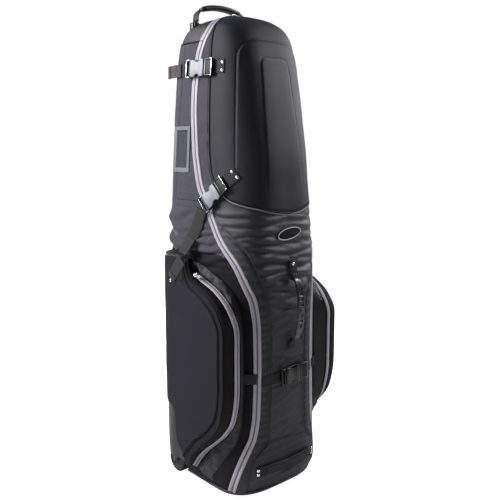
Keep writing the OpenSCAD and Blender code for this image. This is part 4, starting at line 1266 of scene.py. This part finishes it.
def badge():
    """A plain embroidered oval."""
    spot = place(*BADGE, 8, 0.4)
    oval = round_section(1.0, 0, 90) * np.array([41, 14.5])
    path = np.column_stack([oval, np.full(90, 1.5)])
    ring = sweep(path, UP, flat_section(-1.3, 1.3, 0, 1.3, 0.4), True)
    make("badge_outline", placed(ring, *spot)[:2], THREAD, "door", "badge")
    make("badge_patch", placed(extruded(oval, 0.1, 1.9, 0.5), *spot), POCKET_FABRIC, "door")


# ---- wheels, guards and base ----

WHEEL = np.array([-156.0, 130, 37])
GUARD_LOW, GUARD_TOP = 40, 262
# height and bearing of the guard's front edge
GUARD_EDGE = np.array([[GUARD_LOW, 166], [85, 163], [120, 160], [225, 159], [245, 152],
                       [GUARD_TOP, 144]])


def wheels():
    tread = [(25.5, -12.5), (26.4, -13.9), (31, -14), (34.0, -12.6), (34.6, -10), (34.6, 10),
             (34.0, 12.6), (31, 14), (26.4, 13.9), (25.5, 12.5)]
    lugs = join(*[rounded_box((3.2, 5.4, 11.5), (34.9, 0.9 * s, s * 6.6), 1.0) for s in (-1, 1)])
    tyre = join(turned(tread, 66), *around(lugs, 22))
    sides("wheel_tread", placed(tyre, AXIS_X, WHEEL)[:2], RUBBER, "wheel_{}", "wheel_tyre_{}")
    rim = [(5.0, -12), (9.4, -12), (9.8, -11.2), (9.8, -7), (21.5, -8.5), (23, -11), (25.4, -11),
           (25.4, 11), (23, 11), (21.5, 8.5), (9.8, 7), (9.8, 11.2), (9.4, 12), (5.0, 12)]
    spoke = join(*[rounded_box((13.5, 3.4, 4.4), (15.8, 0, s * 7.9), 1.0) for s in (-1, 1)])
    hub = join(turned(rim, 48), *around(spoke, 6))
    sides("wheel_hub_cast", placed(hub, AXIS_X, WHEEL)[:2], GREY_PLASTIC, "wheel_{}",
          "wheel_hub_{}")


def corner_guards():
    """Moulded guards with a raised rim, which cover the rear corners above the wheels."""
    rows, columns = 70, 46
    z = np.linspace(GUARD_LOW, GUARD_TOP, rows)[:, None]
    u = np.linspace(0, 1, columns)[None]
    phi = mix(116, np.interp(z, *GUARD_EDGE.T), u)
    border = np.minimum(np.minimum(u * 60, (1 - u) * 60),
                        np.minimum(z - GUARD_LOW, GUARD_TOP - z) / 2.2)
    off = (18.2 - 6 * smooth((phi - 147) / 9) - 1.8 * smooth((border - 4.5) / 2)
           + 1.6 * near(border, 3.2, 1.6) - 8.0 * (1 - smooth(border / 3))
           + 1.1 * sum(near(z, h, 2.2) for h in (170, 190, 210)) * smooth((border - 7) / 3))
    outer = skin(z, phi, off)
    # the guard is hollow over the wheel and open below it
    over_wheel = smooth((86 - z) / 8) * smooth((phi - 126) / 4) * smooth((162 - phi) / 4)
    points, faces, uv = slab(outer, skin(z, phi, 1.9 + 8 * over_wheel))
    mouth = (outer[..., 2] < 54) & (outer[..., 1] > 72) & (np.abs(outer[..., 0]) > 130)
    open_points = np.concatenate([mouth.ravel()] * 2)
    faces = [f for f in faces if not open_points[list(f)].all()]
    for piece in sides("corner_guard_shell", (points, faces, uv), GREY_PLASTIC, "case",
                       "corner_guard_{}"):
        piece.modifiers.new("edge", "EDGE_SPLIT").split_angle = math.radians(50)


def wheel_housings():
    """Walls of the wheel wells, and the end caps of the axles."""
    x0, x1, y0, y1, top = -175, -137, 88, 166, 80
    well = join(rounded_box((x1 - x0, 2.6, 44), ((x0 + x1) / 2, y0 + 1.3, 58), 0.8),
                rounded_box((x1 - x0 - 6, 70, 2.6), ((x0 + x1) / 2 + 3, y0 + 35, top - 1.3), 0.8),
                rounded_box((2.6, y1 - y0, 44), (x1 - 1.3, (y0 + y1) / 2, 58), 0.8),
                rounded_box((2.6, 22, 46), (x0 + 1.3, WHEEL[1], 57), 1.0))
    sides("wheel_well", well[:2], BLACK_PLASTIC, "case", "wheel_housings")
    cap, faces = placed(turned([(4.0, -18.6), (4.0, 17.6), (6.4, 18.0), (6.4, 19.0), (5.0, 20.4),
                                (1.0, 20.8)]), AXIS_LEFT, WHEEL)
    sides("axle", (cap, flipped(faces)), GREY_PLASTIC, "case", "wheel_axles")


BASE_Z = 24  # the height of the body's section that the base follows


def base_ring(off, count):
    """The body's outline at the base, moved outwards by off."""
    return skin(BASE_Z, np.linspace(0, 360, count, endpoint=False), off)


def base_tray():
    """The moulded tray under the case, open over the wheels, with its rim."""
    count = 240
    # distance outwards and height
    levels = [(-30, 13.0), (-6, 13.0), (-2.6, 13.4), (-1.2, 15), (-1.0, 18.5), (-2.0, 20.4),
              (-9.0, 20.6), (-9.2, 47), (-11.0, 48), (-12.2, 47), (-12.4, 23), (-30, 22)]
    rings = np.stack([base_ring(off, count) for off, _ in levels])
    rings[..., 2] = np.array(levels)[:, [1]]
    inside_well = (np.abs(rings[..., 0]) > 136) & (rings[..., 1] > 87)
    ahead = [(j, (j + 1) % count) for j in range(count)]
    faces = [(i * count + j, (i + 1) * count + j, (i + 1) * count + k, i * count + k)
             for i in range(len(levels) - 1) for j, k in ahead
             if not inside_well[i:i + 2, [j, k]].any()]
    # fans close the middle of the underside and of the floor
    n, last = len(levels) * count, (len(levels) - 1) * count
    faces += [(n, j, k) for j, k in ahead] + [(n + 1, last + k, last + j) for j, k in ahead]
    points = np.concatenate([rings.reshape(-1, 3), [[0, MID_Y, 13.0], [0, MID_Y, 22.0]]])
    tray = make("base_tray", (points, flipped(faces)), BLACK_PLASTIC, "case", "base_tub")
    tray.modifiers.new("edge", "EDGE_SPLIT").split_angle = math.radians(40)


def base_fittings():
    # the light strip along the front foot edge is a painted highlight on the rim of the base
    a = np.linspace(196, 344, 150)
    edge = sweep(skin(BASE_Z, a, 0.2) - 3 * UP, skin_normal(BASE_Z, a),
                 flat_section(-3.0, 3.0, -0.8, 0.9, 1.0))
    make("base_edge_highlight", edge, GREY_PLASTIC, "case")
    foot = turned([(13.5, 0), (14.4, 0.3), (16.6, 2.6), (17, 3.6), (17, 13)], 44)
    feet = join(*[moved(foot, (s * 98, -92, 0)) for s in (-1, 1)])
    make("feet", feet[:2], RUBBER, "case", "front_feet")
    # the foam pad is notched round the wheel wells
    ring = base_ring(-14, 120)
    notch = (np.abs(ring[:, 0]) > 124) & (ring[:, 1] > 74)
    ring[notch, 0] = np.sign(ring[notch, 0]) * 124
    pad = make("base_foam", extruded(ring[:, :2], 22.6, 40.4, 4), FOAM, "case", "base_pad")
    runners = []
    for x in (-62, 62):
        runners += [rounded_box((18, 7, 700), (x, 163.8, 640), 3.0),
                    *[rounded_box((10, 1.4, 22), (x, 167, 340 + k * 75), 0.6) for k in range(9)]]
    make("back_runners", join(*runners)[:2], BLACK_PLASTIC, "case", "back_skids")


def inside():
    """The stiffening board against the back, and the two straps that hold the golf bag."""
    make("stiffener", rounded_box((192, 3, 1030), (0, 150.5, 585), 1.2), GREY_PLASTIC, "case",
         "back_board")
    straps = []
    for z in (440, 980):
        path = np.stack([np.linspace(-70, 70, 60), np.full(60, 149), np.full(60, z)], -1)
        straps.append(strap(path, [0, -1, 0], 40, 2.0, 0.1))
    make("bag_straps", join(*straps), WEBBING, "case", "inner_straps")


# ---- camera, floor and light ----

def add_camera():
    """Stands to the front left of the case, 1.8 m away and a little above its middle."""
    camera = bpy.data.objects.new("camera", bpy.data.cameras.new("camera"))
    camera.data.lens = 46.22
    camera.data.sensor_width = 36
    bearing = math.radians(41)
    ahead = Vector((math.sin(bearing), math.cos(bearing), 0))
    camera.location = Vector((0.003, -0.003, 0.945)) - ahead * 1.80
    camera.rotation_euler = (math.radians(90 - 8.9), 0, -bearing)
    bpy.context.scene.collection.objects.link(camera)
    bpy.context.scene.camera = camera


def seen_by_camera(nodes, links, value):
    """A strength that applies to what the camera sees directly and not to the light it gives."""
    path = new_node(nodes, "LightPath")
    scaled = new_node(nodes, "Math", {1: value}, operation="MULTIPLY")
    links.new(path.outputs["Is Camera Ray"], scaled.inputs[0])
    return scaled.outputs[0]


def add_floor():
    """A pale floor, bright enough to run into the white behind it."""
    mesh = bpy.data.meshes.new("floor")
    mesh.from_pydata([(-60, -60, 0), (60, -60, 0), (60, 60, 0), (-60, 60, 0)], [], [(0, 1, 2, 3)])
    floor = bpy.data.objects.new("floor", mesh)
    material, nodes, links, out = shader("pale_floor", {
        "Emission Color": (1, 1, 1, 1), "Roughness": 0.9, "Specular IOR Level": 0.1})
    noise = new_node(nodes, "TexNoise", {"Scale": 3})
    ramp = new_node(nodes, "ValToRGB")
    for end, grey in zip(ramp.color_ramp.elements, (0.70, 0.74)):
        end.color = (grey, grey, grey, 1)
    links.new(noise.outputs["Fac"], ramp.inputs["Fac"])
    links.new(ramp.outputs["Color"], out.inputs["Base Color"])
    links.new(seen_by_camera(nodes, links, 0.95), out.inputs["Emission Strength"])
    mesh.materials.append(material)
    bpy.context.scene.collection.objects.link(floor)


def area_light(name, place_m, power, width, height):
    """A soft box that faces the middle of the case."""
    data = bpy.data.lights.new(name, "AREA")
    data.shape = "RECTANGLE"
    data.size, data.size_y, data.energy = width, height, power
    light = bpy.data.objects.new(name, data)
    light.location = place_m
    ahead = Vector((0, 0, 0.75)) - light.location
    light.rotation_euler = ahead.to_track_quat("-Z", "Y").to_euler()
    bpy.context.scene.collection.objects.link(light)


def add_light():
    """Tall soft boxes on either side, a weaker one in front, a dim room and a white background."""
    world = bpy.data.worlds.new("studio")
    world.use_nodes = True
    nodes, links = world.node_tree.nodes, world.node_tree.links
    dim = nodes["Background"]
    dim.inputs["Strength"].default_value = 0.13
    dim.inputs["Color"].default_value = (0.92, 0.95, 1.0, 1)
    white = new_node(nodes, "Background", {"Color": (1, 1, 1, 1)})
    either = new_node(nodes, "MixShader")
    links.new(seen_by_camera(nodes, links, 1.0), either.inputs["Fac"])
    links.new(dim.outputs["Background"], either.inputs[1])
    links.new(white.outputs["Background"], either.inputs[2])
    links.new(either.outputs["Shader"], nodes["World Output"].inputs["Surface"])
    bpy.context.scene.world = world
    area_light("left_softbox", (-1.9, 1.3, 1.9), 135, 0.9, 1.5)
    area_light("right_softbox", (2.0, -0.5, 1.9), 74, 0.6, 1.5)
    area_light("front_softbox", (-1.1, -2.2, 2.5), 9, 1.0, 1.0)
    bpy.context.scene.view_settings.view_transform = "Standard"


add_camera()
add_floor()
add_light()
side_panels()
back_panel()
rear_dome()
main_zip()
door_fabric()
moulded_shell()
shell_trim()
inner_lining()
pocket_flaps()
pocket_zips()
gussets()
upper_straps()
diagonal_straps()
side_buckles()
strap_tabs()
lower_strap()
rivets()
top_handle()
handle_anchors()
grab_handle()
grab_tabs()
bottom_handle()
sliders()
card_holder()
badge()
wheels()
corner_guards()
wheel_housings()
base_tray()
base_fittings()
inside()
